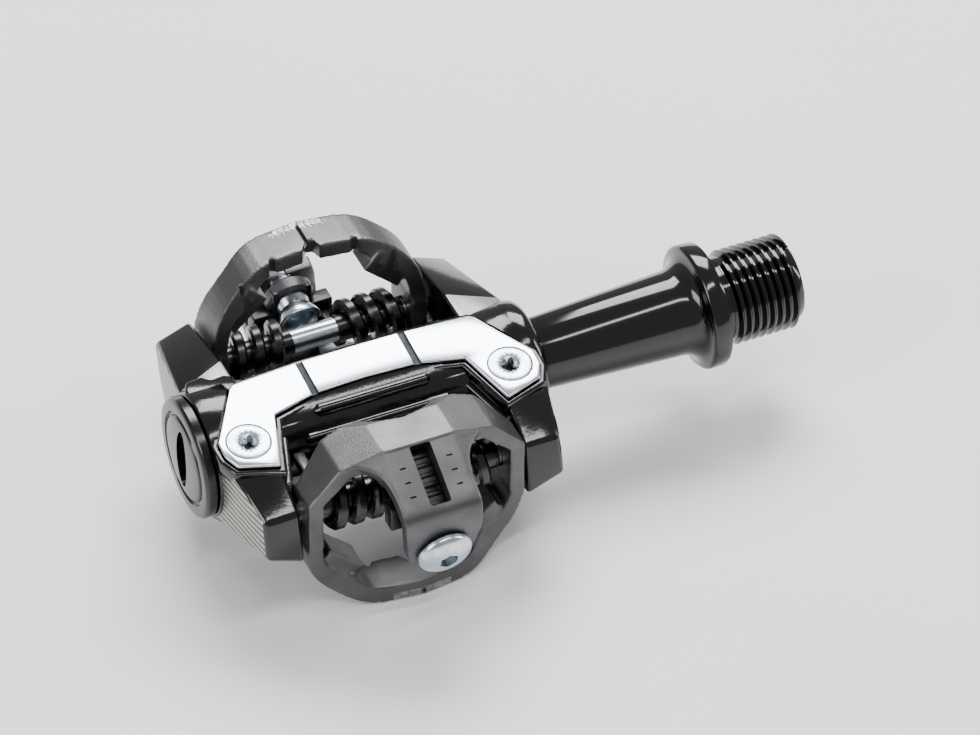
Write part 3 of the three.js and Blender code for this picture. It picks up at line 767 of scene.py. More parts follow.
# ------------------------------------------------------------------ the bench
@dataclass
class Bench:
    """Where pieces are finished, moved into the row's frame and put on their bodies, and where the
    CAD nodes that they stand for are hidden.
    """

    middle_x: float
    edge_angle: float = 38.0

    def hand_over(
        self,
        piece: bpy.types.Object,
        name: str,
        finish: Finish,
        rides: Rides,
        slot: str,
        *nodes: str,
        patches: Sequence[tuple[Finish, Callable[[Vector, Vector], bool]]] = (),
    ) -> bpy.types.Object:
        """Finishes a piece.

        Args:
            piece: a closed mesh in the pedal's own frame, in millimetres.
            name: its final name.
            finish: what it is made of.
            rides: the body that it moves with.
            slot: the record's material slot; not used.
            nodes: the CAD nodes that it stands for.
            patches: other finishes, each with a test of a face's middle and normal.

        Returns:
            The piece, in the row's frame.
        """
        only(piece)
        bpy.ops.object.shade_smooth_by_angle(angle=math.radians(self.edge_angle))
        piece.data.materials.clear()
        piece.data.materials.append(finish.material())
        for number, (other, chosen) in enumerate(patches, 1):
            piece.data.materials.append(other.material())
            for face in piece.data.polygons:
                if chosen(face.center, face.normal):
                    face.material_index = number
        placed(piece, Matrix.Translation((self.middle_x, 0, 0)) @ Matrix.Scale(MM, 4))
        piece.name = name
        piece.data.name = name
        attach(piece, rides.value)
        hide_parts(*nodes)
        LOG.info("%s: %d faces, rides on %s", name, len(piece.data.polygons), rides.value)
        return piece

    def dress(self, frame: dict, finish: Finish, *nodes: str) -> None:
        """Gives CAD nodes that keep their own shape a better material.

        Args:
            frame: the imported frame.
            finish: what the nodes are made of.
            nodes: their names.
        """
        for node in nodes:
            for slot in frame["nodes"][node].material_slots:
                slot.material = finish.material()


@dataclass
class Spindle:
    """The spindle, from its thin end in the bearing to the crank thread and its key socket."""

    bench: Bench
    crank_face: float = 56.0
    thread_d: float = 14.29
    pitch: float = 1.27
    thread_depth: float = 0.75
    thread_length: float = 11.5
    relief: float = 1.7
    flange_d: float = 19.0
    flange_thick: float = 3.0
    fillet: float = 3.2
    neck_d: float = 12.9
    shaft_d: float = 10.7
    journal_d: float = 9.5
    core_d: float = 8.6
    bore_d: float = 5.4
    key: float = 6.0
    key_depth: float = 9.0
    end_chamfer: float = 0.9
    thin_end: float = -23.4
    bore_floor: float = -13.2
    journal_from: float = 7.6
    journal_to: float = 23.6
    shaft_from: float = 27.4
    fillet_steps: int = 8

    def shaft(self) -> bpy.types.Object:
        """The turned shaft with its flange, without the thread's ridge.

        Returns:
            The closed shaft.
        """
        back = self.crank_face - self.flange_thick
        thread_from = self.crank_face + self.relief
        thread_to = thread_from + self.thread_length
        root = self.thread_d / 2 - self.thread_depth
        rim = self.flange_d / 2
        fillet = []
        for step in range(self.fillet_steps + 1):
            angle = math.pi / 2 * step / self.fillet_steps
            rise = (rim - 0.4 - self.neck_d / 2) * (1 - math.cos(angle))
            fillet.append((back - self.fillet * (1 - math.sin(angle)), self.neck_d / 2 + rise))
        profile = [
            (self.thin_end, 0), (self.thin_end, self.bore_d / 2),
            (self.bore_floor, self.bore_d / 2), (self.bore_floor, 3.8),
            (-11.5, self.core_d / 2), (self.journal_from, self.core_d / 2),
            (self.journal_from, self.journal_d / 2), (self.journal_to, self.journal_d / 2),
            (self.journal_to, self.shaft_d / 2), (27.2, self.shaft_d / 2 - 0.15),
            (self.shaft_from, self.shaft_d / 2), *fillet,
            (back + 0.25, rim - 0.12), (back + 0.6, rim),
            (self.crank_face - 0.6, rim), (self.crank_face - 0.2, rim - 0.15),
            (self.crank_face, rim - 0.55), (self.crank_face, root - 0.1),
            (thread_from, root - 0.1), (thread_from, root), (thread_to - self.end_chamfer, root),
            (thread_to, root - 0.55), (thread_to, 0),
        ]
        return spun("spindle_shaft", profile, 128)

    def ridge(self) -> bpy.types.Object:
        """The thread's ridge, wound along the shaft.

        Returns:
            The closed ridge.
        """
        root, crest = self.thread_d / 2 - self.thread_depth - 0.15, self.thread_d / 2
        start = self.crank_face + self.relief + 0.1
        turns = int((self.thread_length - self.end_chamfer) / self.pitch)
        section = [(0.0, root), (0.52, crest), (0.68, crest), (self.pitch - 0.07, root)]
        deselect()
        bpy.ops.mesh.primitive_circle_add(vertices=len(section), radius=1, fill_type="NOTHING")
        piece = bpy.context.object
        for vertex, (x, radius) in zip(piece.data.vertices, section):
            vertex.co = (start + x, 0, radius)
        shaped(
            piece, "SCREW", axis="X", angle=2 * math.pi, screw_offset=self.pitch, steps=72,
            render_steps=72, iterations=turns, use_merge_vertices=False, use_normal_calculate=True,
        )
        return holes_filled(piece, len(section))

    def build(self) -> None:
        """Cuts the key socket, adds the thread and hands the spindle over."""
        end = self.crank_face + self.relief + self.thread_length
        across = self.key / math.sqrt(3)
        socket = prism("socket", wheel(6, lambda _: across), end - self.key_depth, end + 1)
        placed(socket, Matrix.Translation((end, 0, 0)) @ Matrix.Rotation(math.pi / 2, 4, "Y"))
        placed(socket, Matrix.Translation((-end, 0, 0)))
        mouth = spun(
            "mouth",
            [(end - 0.8, 0), (end - 0.8, self.key / 2), (end + 1, self.key / 2 + 1.6), (end + 1, 0)]
        )
        shaft = cut(self.shaft(), socket, mouth)
        piece = fused([shaft, self.ridge()], "spindle_with_thread")
        self.bench.hand_over(
            piece, "spindle_with_thread", SPINDLE_BLACK, Rides.SPINDLE, "black_spindle", "spindle"
        )


@dataclass
class Casting:
    """The body: a barrel, four arms, and a raised seat for each cleat plate."""

    bench: Bench
    barrel_d: float = 17.6
    collar_d: float = 18.8
    collar_length: float = 6.0
    crank_end: float = 26.8
    cap_end: float = -25.4
    arm_inner: float = 17.4
    pin_y: float = -17.0
    pocket_d: float = 6.0
    plate_level: float = 8.9
    plate_tilt: float = math.radians(7.4)
    band_y: float = 3.1
    screw_x: float = 20.4
    screw_y: float = -8.4
    edge: float = 0.75
    step_reach: float = 6.2
    seal_room_r: float = 7.5
    bush_r: float = 6.5
    bush_from: float = 8.3
    bore_r: float = 5.3
    bearing_r: float = 6.8
    bearing_from: float = -13.2
    cap_room_r: float = 7.9
    cap_room_deep: float = 3.3
    plate_gap: float = 0.25
    ribs_at: tuple[Point, ...] = ((28.0, 11.5), (52.0, 9.0))

    @property
    def plate_frame(self) -> Matrix:
        """Turns the top plate's own flat frame into the pedal's frame."""
        return Matrix.Translation((0, 0, self.plate_level)) @ Matrix.Rotation(
            self.plate_tilt, 4, "X"
        )

    def plate_outline(self) -> list[Point]:
        """The cleat plate from above: a band across the spindle with a foot at each end.

        Returns:
            Its corners as (x, y), in the plate's own flat frame.
        """
        x, y, band = self.screw_x, self.screw_y, self.band_y
        right = [
            (0, band), (8, band - 0.1), (x - 1.9, band - 0.7), (x - 1.1, band - 1.4),
            (x + 4.2, y + 1.3),
            (x + 4.2, y - 1.4), (x + 3.1, y - 3.8), (x - 2.7, y - 5.7), (x - 5.5, y + 3.4),
            (8, -band - 0.3), (0, -band),
        ]
        return mirrored(right)

    def barrel(self) -> bpy.types.Object:
        """The hollow barrel, with its collar at the cap end and a lip at the crank end.

        Returns:
            The closed barrel.
        """
        tube, collar = self.barrel_d / 2, self.collar_d / 2
        step = self.cap_end + self.collar_length
        end, cap_floor = self.crank_end, self.cap_end + self.cap_room_deep
        profile = [
            (self.cap_end, collar - 0.4), (self.cap_end + 0.15, collar - 0.12),
            (self.cap_end + 0.45, collar), (step - 0.4, collar), (step - 0.1, collar - 0.12),
            (step + 0.3, tube + 0.08), (step + 0.9, tube), (end - 3.2, tube),
            (end - 2.9, tube + 0.16),
            (end - 1.2, tube + 0.16), (end - 0.5, tube - 0.1), (end - 0.12, tube - 0.45),
            (end, tube - 0.9), (end, self.seal_room_r), (end - 2.8, self.seal_room_r),
            (end - 2.8, self.bush_r), (self.bush_from, self.bush_r), (self.bush_from, self.bore_r),
            (self.bearing_from, self.bore_r), (self.bearing_from, self.bearing_r),
            (cap_floor, self.bearing_r), (cap_floor, self.cap_room_r),
            (self.cap_end, self.cap_room_r),
        ]
        return spun("barrel", profile, 128)

    def ribs(self) -> list[bpy.types.Object]:
        """The long ribs on the barrel between the arms, two on each side.

        Returns:
            All four ribs.
        """
        result = []
        for angle, reach in self.ribs_at:
            ends = [(-reach, 0), (-reach + 0.06, 0.45), (-reach + 0.7, 1.0)]
            rib = spun("rib", ends + [(-x, r) for x, r in reversed(ends)], 24)
            turn = Matrix.Rotation(math.radians(180 - angle), 4, "X")
            result.append(placed(rib, turn @ Matrix.Translation((0, self.barrel_d / 2 - 0.1, 0))))
        over = [copied(rib, "rib", TURN_OVER) for rib in result]
        return result + over

    def arm(self) -> bpy.types.Object:
        """The rear arm on the crank side, with its rounded edges.

        Returns:
            The closed arm.
        """
        inner = self.arm_inner
        sections = [
            [(22.9, -20.3, 2.8), (inner, -20.3, 2.8), (inner, -21.6, -5.7), (23.1, -21.6, -3.4)],
            [(24.2, -13.8, 5.5), (inner, -13.8, 6.1), (inner, -13.8, -7.35), (24.2, -13.8, -5.26)],
            [(25.3, -6.1, 6.7), (inner, -6.1, 7.2), (inner, -8.8, -8.4), (25.3, -6.1, -7.1)],
            [(25.3, 1.2, 7.1), (inner, 1.2, 8.4), (inner, 1.2, -8.4), (25.3, 1.2, -7.1)],
        ]
        return lofted("arm", sections)

    def arms(self) -> None:
        """All four arms with their finishes, and on the crank side the pocket for a pin's head."""
        slot = "black_body"
        for end in End:
            over = end.turn
            for side, mirror in (("crank_side", Matrix.Identity(4)), ("cap_side", MIRROR_X)):
                arm = self.arm()
                if side == "crank_side":
                    pocket = spun("pocket", [(19.9, 0), (19.9, self.pocket_d / 2),
                                             (28, self.pocket_d / 2), (28, 0)], 48)
                    cut(arm, placed(pocket, Matrix.Translation((0, self.pin_y, 0))))
                placed(rounded(arm, self.edge), over @ mirror)
                cut(arm, *self.rooms())
                name = f"body_arm_{end.value}_{side}"
                patches = [(MILLED, self.on_milled_side), (FACED, self.on_milled_flat)]
                self.bench.hand_over(
                    arm, name, GLOSS_BLACK, Rides.BODY, slot, "pedal_body", patches=patches
                )

    def hook(self) -> bpy.types.Object:
        """The hook-shaped raised land on the front arm's flat, on the cap side.

        Returns:
            The closed land.
        """
        outline = [(-25.0, 2.0), (-25.0, 4.6), (-24.2, 6.2), (-21.8, 6.6), (-20.6, 5.4),
                   (-18.6, 5.6),
                   (-17.4, 4.8), (-17.4, 2.0)]
        return rounded(prism("hook", outline, 5.6, 8.6), 0.4)

    def on_milled_side(self, middle: Vector, normal: Vector) -> bool:
        """Whether a face is on an arm's outer side wall, on the cap side."""
        return middle.x < -22.4 and normal.x < -0.9

    def on_milled_flat(self, middle: Vector, normal: Vector) -> bool:
        """Whether a face is on the flat beside a plate's seat, on the far side of that plate."""
        flat = abs(normal.z) > 0.9 and abs(middle.z) > 6.9 and abs(middle.x) > self.arm_inner + 0.4
        return flat and middle.y * middle.z > 0 and abs(middle.y) < 9

    def rooms(self) -> list[bpy.types.Object]:
        """The room that each cleat plate lies in."""
        top = placed(
            prism("room", grown(self.plate_outline(), self.plate_gap), -1.7, 4), self.plate_frame
        )
        return [top, copied(top, "room", TURN_OVER)]

    def seat(self) -> bpy.types.Object:
        """The raised seat of the top plate, in two steps, with the room that the plate lies in.

        Returns:
            The closed seat.
        """
        outline = self.plate_outline()
        side = self.arm_inner + self.step_reach
        ledge = [(max(-side, min(side, x)), y) for x, y in grown(outline, 1.7)]
        rim = rounded(prism("seat", grown(outline, 0.9), -3.4, -0.7), 0.28, 2)
        step = rounded(prism("step", ledge, -7.4, -2.7), 0.4, 3)
        shells = [cut(placed(shell, self.plate_frame), *self.rooms()) for shell in (rim, step)]
        return fused(shells, "seat")

    def build(self) -> None:
        """Makes the barrel with its ribs, the two seats and the arms."""
        barrel = fused([cut(self.barrel(), *self.rooms()), *self.ribs()], "barrel")
        self.bench.hand_over(
            barrel, "body_barrel", GLOSS_BLACK, Rides.BODY, "black_body", "pedal_body"
        )
        top = self.seat()
        bottom = copied(top, "seat", TURN_OVER)
        for piece, name in ((top, "body_plate_seat_top"), (bottom, "body_plate_seat_bottom")):
            self.bench.hand_over(piece, name, GLOSS_BLACK, Rides.BODY, "black_body", "pedal_body")
        self.arms()
        hook = cut(self.hook(), *self.rooms())
        under = copied(hook, "hook", TURN_OVER)
        for piece, name in ((hook, "body_hook_land_top"), (under, "body_hook_land_bottom")):
            self.bench.hand_over(piece, name, GLOSS_BLACK, Rides.BODY, "black_body", "pedal_body")


@dataclass
class CleatPlates:
    """The two polished cleat plates and their flush screws."""

    bench: Bench
    casting: Casting
    thick: float = 1.6
    groove_x: float = 8.0
    groove_width: float = 1.2
    groove_depth: float = 0.4
    head_d: float = 6.4
    shank_d: float = 4.0
    fit: float = 0.16

    def cone(self, name: str, gap: float, top: float) -> bpy.types.Object:
        """A flush screw head's cone with its shank, grown by a gap, on the screw's place.

        Args:
            name: the piece's name.
            gap: how much wider it is than the screw.
            top: how far it stands above the plate.

        Returns:
            The closed cone.
        """
        head, shank = self.head_d / 2 + gap, self.shank_d / 2 + gap
        profile = [
            (-5, 0), (-5, shank), (-head + shank - 0.3, shank), (-0.3, head), (top, head), (top, 0)
        ]
        piece = spun(name, profile, 64)
        return placed(piece, Matrix.Rotation(-math.pi / 2, 4, "Y"))

    def plate(self) -> bpy.types.Object:
        """The plate with its two grooves and two countersunk holes, in its own flat frame.

        Returns:
            The closed plate.
        """
        sheet = prism("plate", self.casting.plate_outline(), -self.thick, 0)
        rounded(sheet, 0.22, 3)
        half = self.groove_width / 2
        for side in (1, -1):
            x = side * self.groove_x
            groove = rounded(
                block("groove", (x - half, -9, -self.groove_depth), (x + half, 9, 3)), 0.3, 3
            )
            hole = placed(
                self.cone("hole", self.fit, 2),
                Matrix.Translation((side * self.casting.screw_x, self.casting.screw_y, 0)),
            )
            cut(sheet, groove, hole)
        return sheet

    def in_groove(self, middle: Vector, _normal: Vector) -> bool:
        """Whether a face belongs to one of the grooves."""
        return abs(abs(middle.x) - self.groove_x) < self.groove_width / 2 + 0.2

    def screw(self) -> bpy.types.Object:
        """A flush screw with a six-lobed socket, standing on its own place.

        Returns:
            The closed screw.
        """
        screw = rounded(self.cone("screw", 0, 0), 0.14, 2, 40)
        lobes = prism("lobes", wheel(60, lambda a: 1.2 + 0.24 * math.cos(6 * a)), -1.7, 1)
        dish = spun("dish", [(-0.35, 0), (-0.35, 1.0), (0.5, 2.2), (0.5, 0)], 48)
        return cut(screw, lobes, placed(dish, Matrix.Rotation(-math.pi / 2, 4, "Y")))

    def build(self) -> None:
        """Makes both plates and all four screws."""
        plate, screw = self.plate(), self.screw()
        for side, over in (("top", Matrix.Identity(4)), ("bottom", TURN_OVER)):
            frame = over @ self.casting.plate_frame
            # The groove faces take the dull dark grey, which is painted shade in the grooves.
            self.bench.hand_over(
                copied(plate, "plate", frame), f"{side}_cleat_plate_polished", POLISHED_STEEL,
                Rides.BODY,
                "plate_polish", f"{side}_cleat_plate", patches=[(GROOVE_PAINTED_SHADE, self.in_groove)],
            )
            for name, x in (
                ("crank_side", self.casting.screw_x), ("cap_side", -self.casting.screw_x)
            ):
                spot = frame @ Matrix.Translation((x, self.casting.screw_y, 0))
                self.bench.hand_over(
                    copied(screw, "screw", spot), f"{side}_plate_screw_{name}_flush", ZINC_STEEL,
                    Rides.BODY, "bright_steel", f"{side}_plate_screw_{name}",
                )
        for spare in (plate, screw):
            bpy.data.objects.remove(spare)


@dataclass
class BarrelEnds:
    """What closes the barrel: the cap and its ring at one end, the seal at the other."""

    bench: Bench
    face: float = -25.7
    cap_d: float = 18.2
    dome_r: float = 6.4
    dome_rise: float = 0.35
    dome_steps: int = 8
    slot_half: Point = (2.0, 5.6)
    seal_end: float = 26.5
    thick: float = 1.6
    skirt_d: float = 15.2
    skirt_wall: float = 1.1
    skirt_length: float = 3.0

    def cap(self) -> bpy.types.Object:
        """The cap: a rounded rim, a ring groove, a low dome and a coin slot in a lens shape.

        Returns:
            The closed cap.
        """
        face, rim = self.face, self.cap_d / 2
        out = face - self.thick
        bore = self.skirt_d / 2 - self.skirt_wall
        dome = quarter(out, -self.dome_rise, self.dome_r, self.dome_steps)
        profile = [
            *dome, (out + self.dome_rise, 6.6), (out + self.dome_rise, 7.0), (out, 7.2),
            (out, rim - 0.7),
            (out + 0.12, rim - 0.3), (out + 0.5, rim), (face, rim), (face, self.skirt_d / 2),
            (face + self.skirt_length, self.skirt_d / 2), (face + self.skirt_length, bore),
            (face, bore),
            (face, 0),
        ]
        cap = spun("cap", profile, 96)
        lens = spun("lens", [(-2.2, 0), (-2.2, 1), (1.05, 0.86), (1.05, 0)], 48)
        placed(lens, Matrix.Translation((out, 0, 0)) @ Matrix.Diagonal((1, *self.slot_half, 1)))
        return cut(cap, lens)

    def build(self) -> None:
        """Makes the cap and the seal."""
        self.bench.hand_over(
            self.cap(), "end_cap_with_slot", NYLON, Rides.BODY, "black_cap", "end_cap"
        )
        end = self.seal_end
        seal = spun(
            "seal",
            [(end - 2.2, 5.75), (end - 2.2, 7.2), (end - 0.3, 7.2), (end - 0.05, 6.95),
             (end - 0.35, 6.6),
             (end - 0.35, 6.3), (end, 5.95), (end - 0.1, 5.7)],
        )
        self.bench.hand_over(
            seal, "spindle_lip_seal", NITRILE, Rides.BODY, "seal_rubber", "spindle_seal"
        )


@dataclass
class JawSet:
    """A jaw with its pin, springs, tension nut and adjusting screw, drawn for the rear."""

    bench: Bench
    half: float = 16.8
    wall: float = 2.3
    top: float = 11.9
    foot: float = 17.0
    face: float = -21.8
    lip: float = -13.1
    scallop: Point = (5.4, 3.2)
    tongue_thick: float = 2.2
    window: Point = (3.2, 9.2)
    voxel: float = 0.22
    pin_y: float = -17.0
    pin_d: float = 3.6
    spring_wire: float = 1.8
    spring_radius: float = 3.0
    spring_inner: float = 3.6
    spring_length: float = 10.5
    spring_turns: int = 3
    spring_centre: Point = (-17.15, -0.1)
    seat: Point = (-30.65, -1.6)
    drop: float = math.radians(16)
    leg_to_barrel: float = 9.0
    leg_to_nut: float = 24.1
    pin_tail: float = -21.4
    pin_shoulder: float = 20.2
    pin_end: float = 22.8
    pin_head_r: float = 2.5
    pin_key: float = 2.5
    head_r: float = 4.1
    head_rise: float = 1.6
    screw_pitch: float = 0.8
    screw_turns: int = 8
    slope_fall: Point = (4.8, 7.9)
    nut_front: float = -24.3
    wing_half: float = 6.3
    stem_half: float = 3.1
    bore_r: float = 2.2
    tooth_depth: Point = (-3, 1.9)
    sides: dict[str, int] = field(default_factory=lambda: {"crank_side": 1, "cap_side": -1})

    # ---- the jaw
    def ring(self) -> bpy.types.Object:
        """The jaw's ring: hood, cheeks and claw, through sections from the hood's middle round.

        Returns:
            The closed ring.
        """
        side, inside = self.half, self.half - self.wall
        face, foot, roof = self.face, -self.foot, self.top - 3.6
        hood = [
            (0, self.top, 0, roof, face - 0.5, self.lip),
            (5.4, self.top, 5.4, roof, face - 0.4, self.lip),
            (side - 4.8, self.top - 1.9, side - 6.6, roof, face, self.lip - 1.2),
            (side, 4.9, inside, 4.3, face, self.lip - 3.4),
            (side, 3.6, inside, 3.4, face, self.pin_y + 3.6),
        ]
        claw = smooth_run(
            [
                (side, -3.6, inside, -3.6, face + 0.1, self.pin_y + 3.6),
                (side, -5.3, inside, -5.2, face + 0.4, self.pin_y + 3.2),
                (side - 1, -10, inside - 1.2, -9.2, face + 1.4, self.pin_y + 3.0),
                (side - 3.9, foot + 3, inside - 4.3, foot + 5.4, face + 1.4, self.pin_y + 2.2),
                (side - 8.8, foot + 0.5, side - 9.6, foot + 3.1, face - 0.8, self.pin_y + 0.6),
                (0, foot, 0, foot + 2.7, face - 1.8, self.pin_y - 0.2),
            ],
            4,
        )
        right = hood + [tuple(row) for row in claw]
        left = [
            (-ox, oz, -ix, iz, front, back) for ox, oz, ix, iz, front, back in reversed(right[1:-1])
        ]
        sections = [
            [(ox, front, oz), (ox, back, oz), (ix, back, iz), (ix, front, iz)]
            for ox, oz, ix, iz, front, back in right + left
        ]
        return lofted("ring", sections, ring=True)

    def lip_tools(self) -> list[bpy.types.Object]:
        """What is cut from the hood's lip: the scallop for the cleat, and a slope down to it.

        Returns:
            The closed tools.
        """
        across, deep = self.scallop
        scallop = prism("scallop", wheel(64, lambda _: 1.0), 2, self.top + 2)
        placed(
            scallop, Matrix.Translation((0, self.lip, 0)) @ Matrix.Diagonal((across, deep, 1, 1))
        )
        slope = [
            (self.lip + 1, self.top - 1.9), (self.lip - 2.9, self.top), (self.lip + 1, self.top + 1)
        ]
        wedge = lofted(
            "wedge", [[(x, y, z) for y, z in slope] for x in (-self.half - 1, self.half + 1)]
        )
        return [scallop, wedge]

    def tongue(self) -> bpy.types.Object:
        """The tongue: it flows out of the hood, slopes down, bends, and ends under the screw.

        Returns:
            The closed tongue.
        """
        seat_y, seat_z = self.seat
        keys = [
            (self.face + 2.2, self.top - 0.05, 11.6), (self.face + 0.6, self.top - 0.05, 11.2),
            (self.face - 0.6, self.top - 0.3, 9.4), (self.face - 2.0, self.top - 1.1, 7.7),
            (self.face - 3.6, self.top - 2.05, 6.6), (self.face - 6.2, self.top - 3.65, 6.05),
            (self.face - 8.5, self.top - 5.1, 6.0), (self.face - 9.55, self.top - 6.25, 5.95),
            (self.face - 9.85, self.top - 8.3, 5.9), (seat_y - 0.75, seat_z + 2.6, 5.7),
            (seat_y + 0.05, seat_z, 5.3), (seat_y + 0.6, seat_z - 2.1, 4.7),
        ]
        rows = smooth_run(keys, 3)
        sections = []
        for i, (y, z, half) in enumerate(rows):
            before, after = rows[max(i - 1, 0)], rows[min(i + 1, len(rows) - 1)]
            along = Vector((after[0] - before[0], after[1] - before[1])).normalized()
            deep_y, deep_z = y - along.y * self.tongue_thick, z + along.x * self.tongue_thick
            across, fall = self.scallop[0], 0.29 * max(0.0, half - self.scallop[0])
            upper = [(half, y, z - fall), (across, y, z), (-across, y, z), (-half, y, z - fall)]
            lower = [(-half, deep_y, deep_z - fall), (half, deep_y, deep_z - fall)]
            sections.append(upper + lower)
        return lofted("tongue", sections)

    def tooth(self, side: int) -> bpy.types.Object:
        """An inward tooth of the claw.

        Args:
            side: 1 on the crank side, -1 on the cap side.

        Returns:
            The closed tooth.
        """
        wall, foot = self.half - self.wall, -self.foot
        section = [(wall + 0.7, foot + 7.1), (wall - 4.3, foot + 2.8), (wall - 6.9, foot + 5.6),
                   (wall - 1.6, foot + 10.6)]
        return lofted(
            "tooth",
            [[(side * x, self.pin_y + y, z) for x, z in section] for y in self.tooth_depth],
        )

    def serrations(self) -> list[bpy.types.Object]:
        """Notches along the claw's back edge, which leave teeth for the shoe's cleat.

        Returns:
            The closed tools.
        """
        tools = []
        for side in (1, -1):
            for x, y, turn in ((0.3, -0.1, 0), (6.0, 1.3, 20), (10.9, 3.0, 42)):
                notch = prism("notch", [(-2.6, 2.4), (0.6, -2.2), (1.9, 2.4)], -self.foot - 1, -6)
                spot = Matrix.Translation((side * x, self.pin_y + y, 0))
                tools.append(
                    placed(notch, spot @ Matrix.Rotation(math.radians(side * turn), 4, "Z"))
                )
        return tools

    def jaw_tools(self) -> list[bpy.types.Object]:
        """Crisp cuts made after the casting is smoothed: window, seam, holes and scale ticks.

        Returns:
            The closed tools.
        """
        width, length = self.window
        window = rounded(
            block("window", (-width / 2, -length / 2, -4), (width / 2, length / 2, 4)), 0.35
        )
        on_slope = self.on_slope()
        placed(window, on_slope)
        tools = [window]
        seam = block(
            "seam", (-0.35, self.face - 5, -self.foot - 1), (0.35, self.pin_y + 3, -self.foot + 1.1)
        )
        hole = placed(
            spun("hole", [(-20, 0), (-20, 2.1), (20, 2.1), (20, 0)], 48),
            Matrix.Translation((0, self.pin_y, 0))
        )
        bore = spun("bore", [(-4, 0), (-4, 2.3), (4, 2.3), (4, 0)], 48)
        tools += [seam, hole, placed(bore, self.on_adjuster())]
        for side in (1, -1):
            for row in range(3):
                x, y = side * (3.3 + 0.3), -2.6 + 2.2 * row
                tick = block("tick", (x - 0.45, y - 0.14, -0.35), (x + 0.45, y + 0.14, 3))
                tools.append(placed(tick, on_slope))
            for groove in range(4):
                x = side * (1.2 + 0.9 * groove)
                low = (x - 0.16, self.face - 4, -self.foot - 1)
                tools.append(block("groove", low, (x + 0.16, self.face + 0.4, -self.foot + 0.22)))
        return tools

    def on_slope(self) -> Matrix:
        """Puts a shape drawn flat onto the middle of the tongue's slope."""
        slope = Matrix.Rotation(math.atan2(*self.slope_fall), 4, "X")
        return Matrix.Translation((0, self.face - 4.5, self.top - 2.8)) @ slope

    def on_adjuster(self) -> Matrix:
        """Puts a shape drawn along X, from the screw's seat inwards, onto the screw's axis."""
        turn = Matrix.Rotation(self.drop, 4, "X") @ Matrix.Rotation(math.pi / 2, 4, "Z")
        return Matrix.Translation((0, *self.seat)) @ turn

    def jaw(self) -> bpy.types.Object:
        """The whole jaw as one smoothed casting with its crisp cuts.

        Returns:
            The closed jaw.
        """
        ring = cut(self.ring(), *self.lip_tools(), *self.serrations())
        whole = gathered([ring, self.tongue(), self.tooth(1), self.tooth(-1)], "jaw")
        shaped(whole, "REMESH", mode="VOXEL", voxel_size=self.voxel, adaptivity=0.0)
        shaped(whole, "SMOOTH", factor=0.5, iterations=5)
        return cut(whole, gathered(self.jaw_tools(), "tools"))

    def worn(self, middle: Vector, _normal: Vector) -> bool:
        """Whether a face is on the claw's front beside the seam, where shoes polish it."""
        near = 0.3 < abs(middle.x) < 4.6 + 0.5 * math.sin(3 * middle.y)
        return near and abs(middle.y) > -self.face and abs(middle.z) > self.foot - 1.5

    # ---- what the jaw turns on and pulls against
    def pin(self) -> bpy.types.Object:
        """The pivot pin, with a key socket in its head.

        Returns:
            The closed pin.
        """
        shank, head, tail, end = self.pin_d / 2, self.pin_head_r, self.pin_tail, self.pin_end
        profile = [
            (tail, 0), (tail, shank - 0.4), (-21.0, shank), (self.pin_shoulder, shank),
            (self.pin_shoulder, head), (22.35, head), (22.7, 2.38), (end, 2.1), (end, 0),
        ]
        pin = spun("pin", profile, 64)
        socket = prism("socket", wheel(6, lambda _: self.pin_key / math.sqrt(3)), -1.6, 1)
        placed(socket, Matrix.Translation((end, 0, 0)) @ Matrix.Rotation(math.pi / 2, 4, "Y"))
        return placed(cut(pin, socket), Matrix.Translation((0, self.pin_y, 0)))

    def spring(self, side: int) -> bpy.types.Object:
        """A torsion spring of nearly square wire, with a leg on the barrel and one on the nut.

        Args:
            side: 1 on the crank side, -1 on the cap side.

        Returns:
            The closed spring, with the dark sleeve that it turns on.
        """
        half = self.spring_wire / 2
        soft = half * 0.45
        corners = [(-half, -half + soft), (-half + soft, -half), (half - soft, -half),
                   (half, -half + soft),
                   (half, half - soft), (half - soft, half), (-half + soft, half),
                   (-half, half - soft)]
        pitch = (self.spring_length - self.spring_wire) / self.spring_turns
        deselect()
        bpy.ops.mesh.primitive_circle_add(vertices=len(corners), radius=1, fill_type="NOTHING")
        coil = bpy.context.object
        for vertex, (x, r) in zip(coil.data.vertices, corners):
            vertex.co = (x, 0, self.spring_radius + r)
        shaped(
            coil, "SCREW", axis="X", angle=2 * math.pi, screw_offset=pitch, steps=56,
            render_steps=56,
            iterations=self.spring_turns, use_merge_vertices=False,
        )
        holes_filled(coil, len(corners))
        centre_y, centre_z = self.spring_centre
        barrel_reach = -centre_y - self.leg_to_barrel
        nut_reach = centre_y + self.leg_to_nut
        top = self.spring_radius
        legs = []
        for x, low, high in ((pitch * self.spring_turns, -0.2, barrel_reach), (0, -nut_reach, 0.2)):
            leg = block("leg", (x - half, low, top - half), (x + half, high, top + half))
            legs.append(rounded(leg, soft, 2))
        inner, outer = self.pin_d / 2 + 0.05, self.spring_radius - half - 0.02
        sleeve = spun("sleeve", [(-half, inner), (-half, outer), (self.spring_length - half, outer),
                                 (self.spring_length - half, inner)], 48)
        placed(sleeve, Matrix.Translation((0, self.pin_y - centre_y, -centre_z)))
        spring = gathered([fused([coil, *legs], "spring"), sleeve], "spring")
        placed(spring, Matrix.Translation((self.spring_inner + half, centre_y, centre_z)))
        return placed(spring, Matrix.Identity(4) if side > 0 else MIRROR_X)

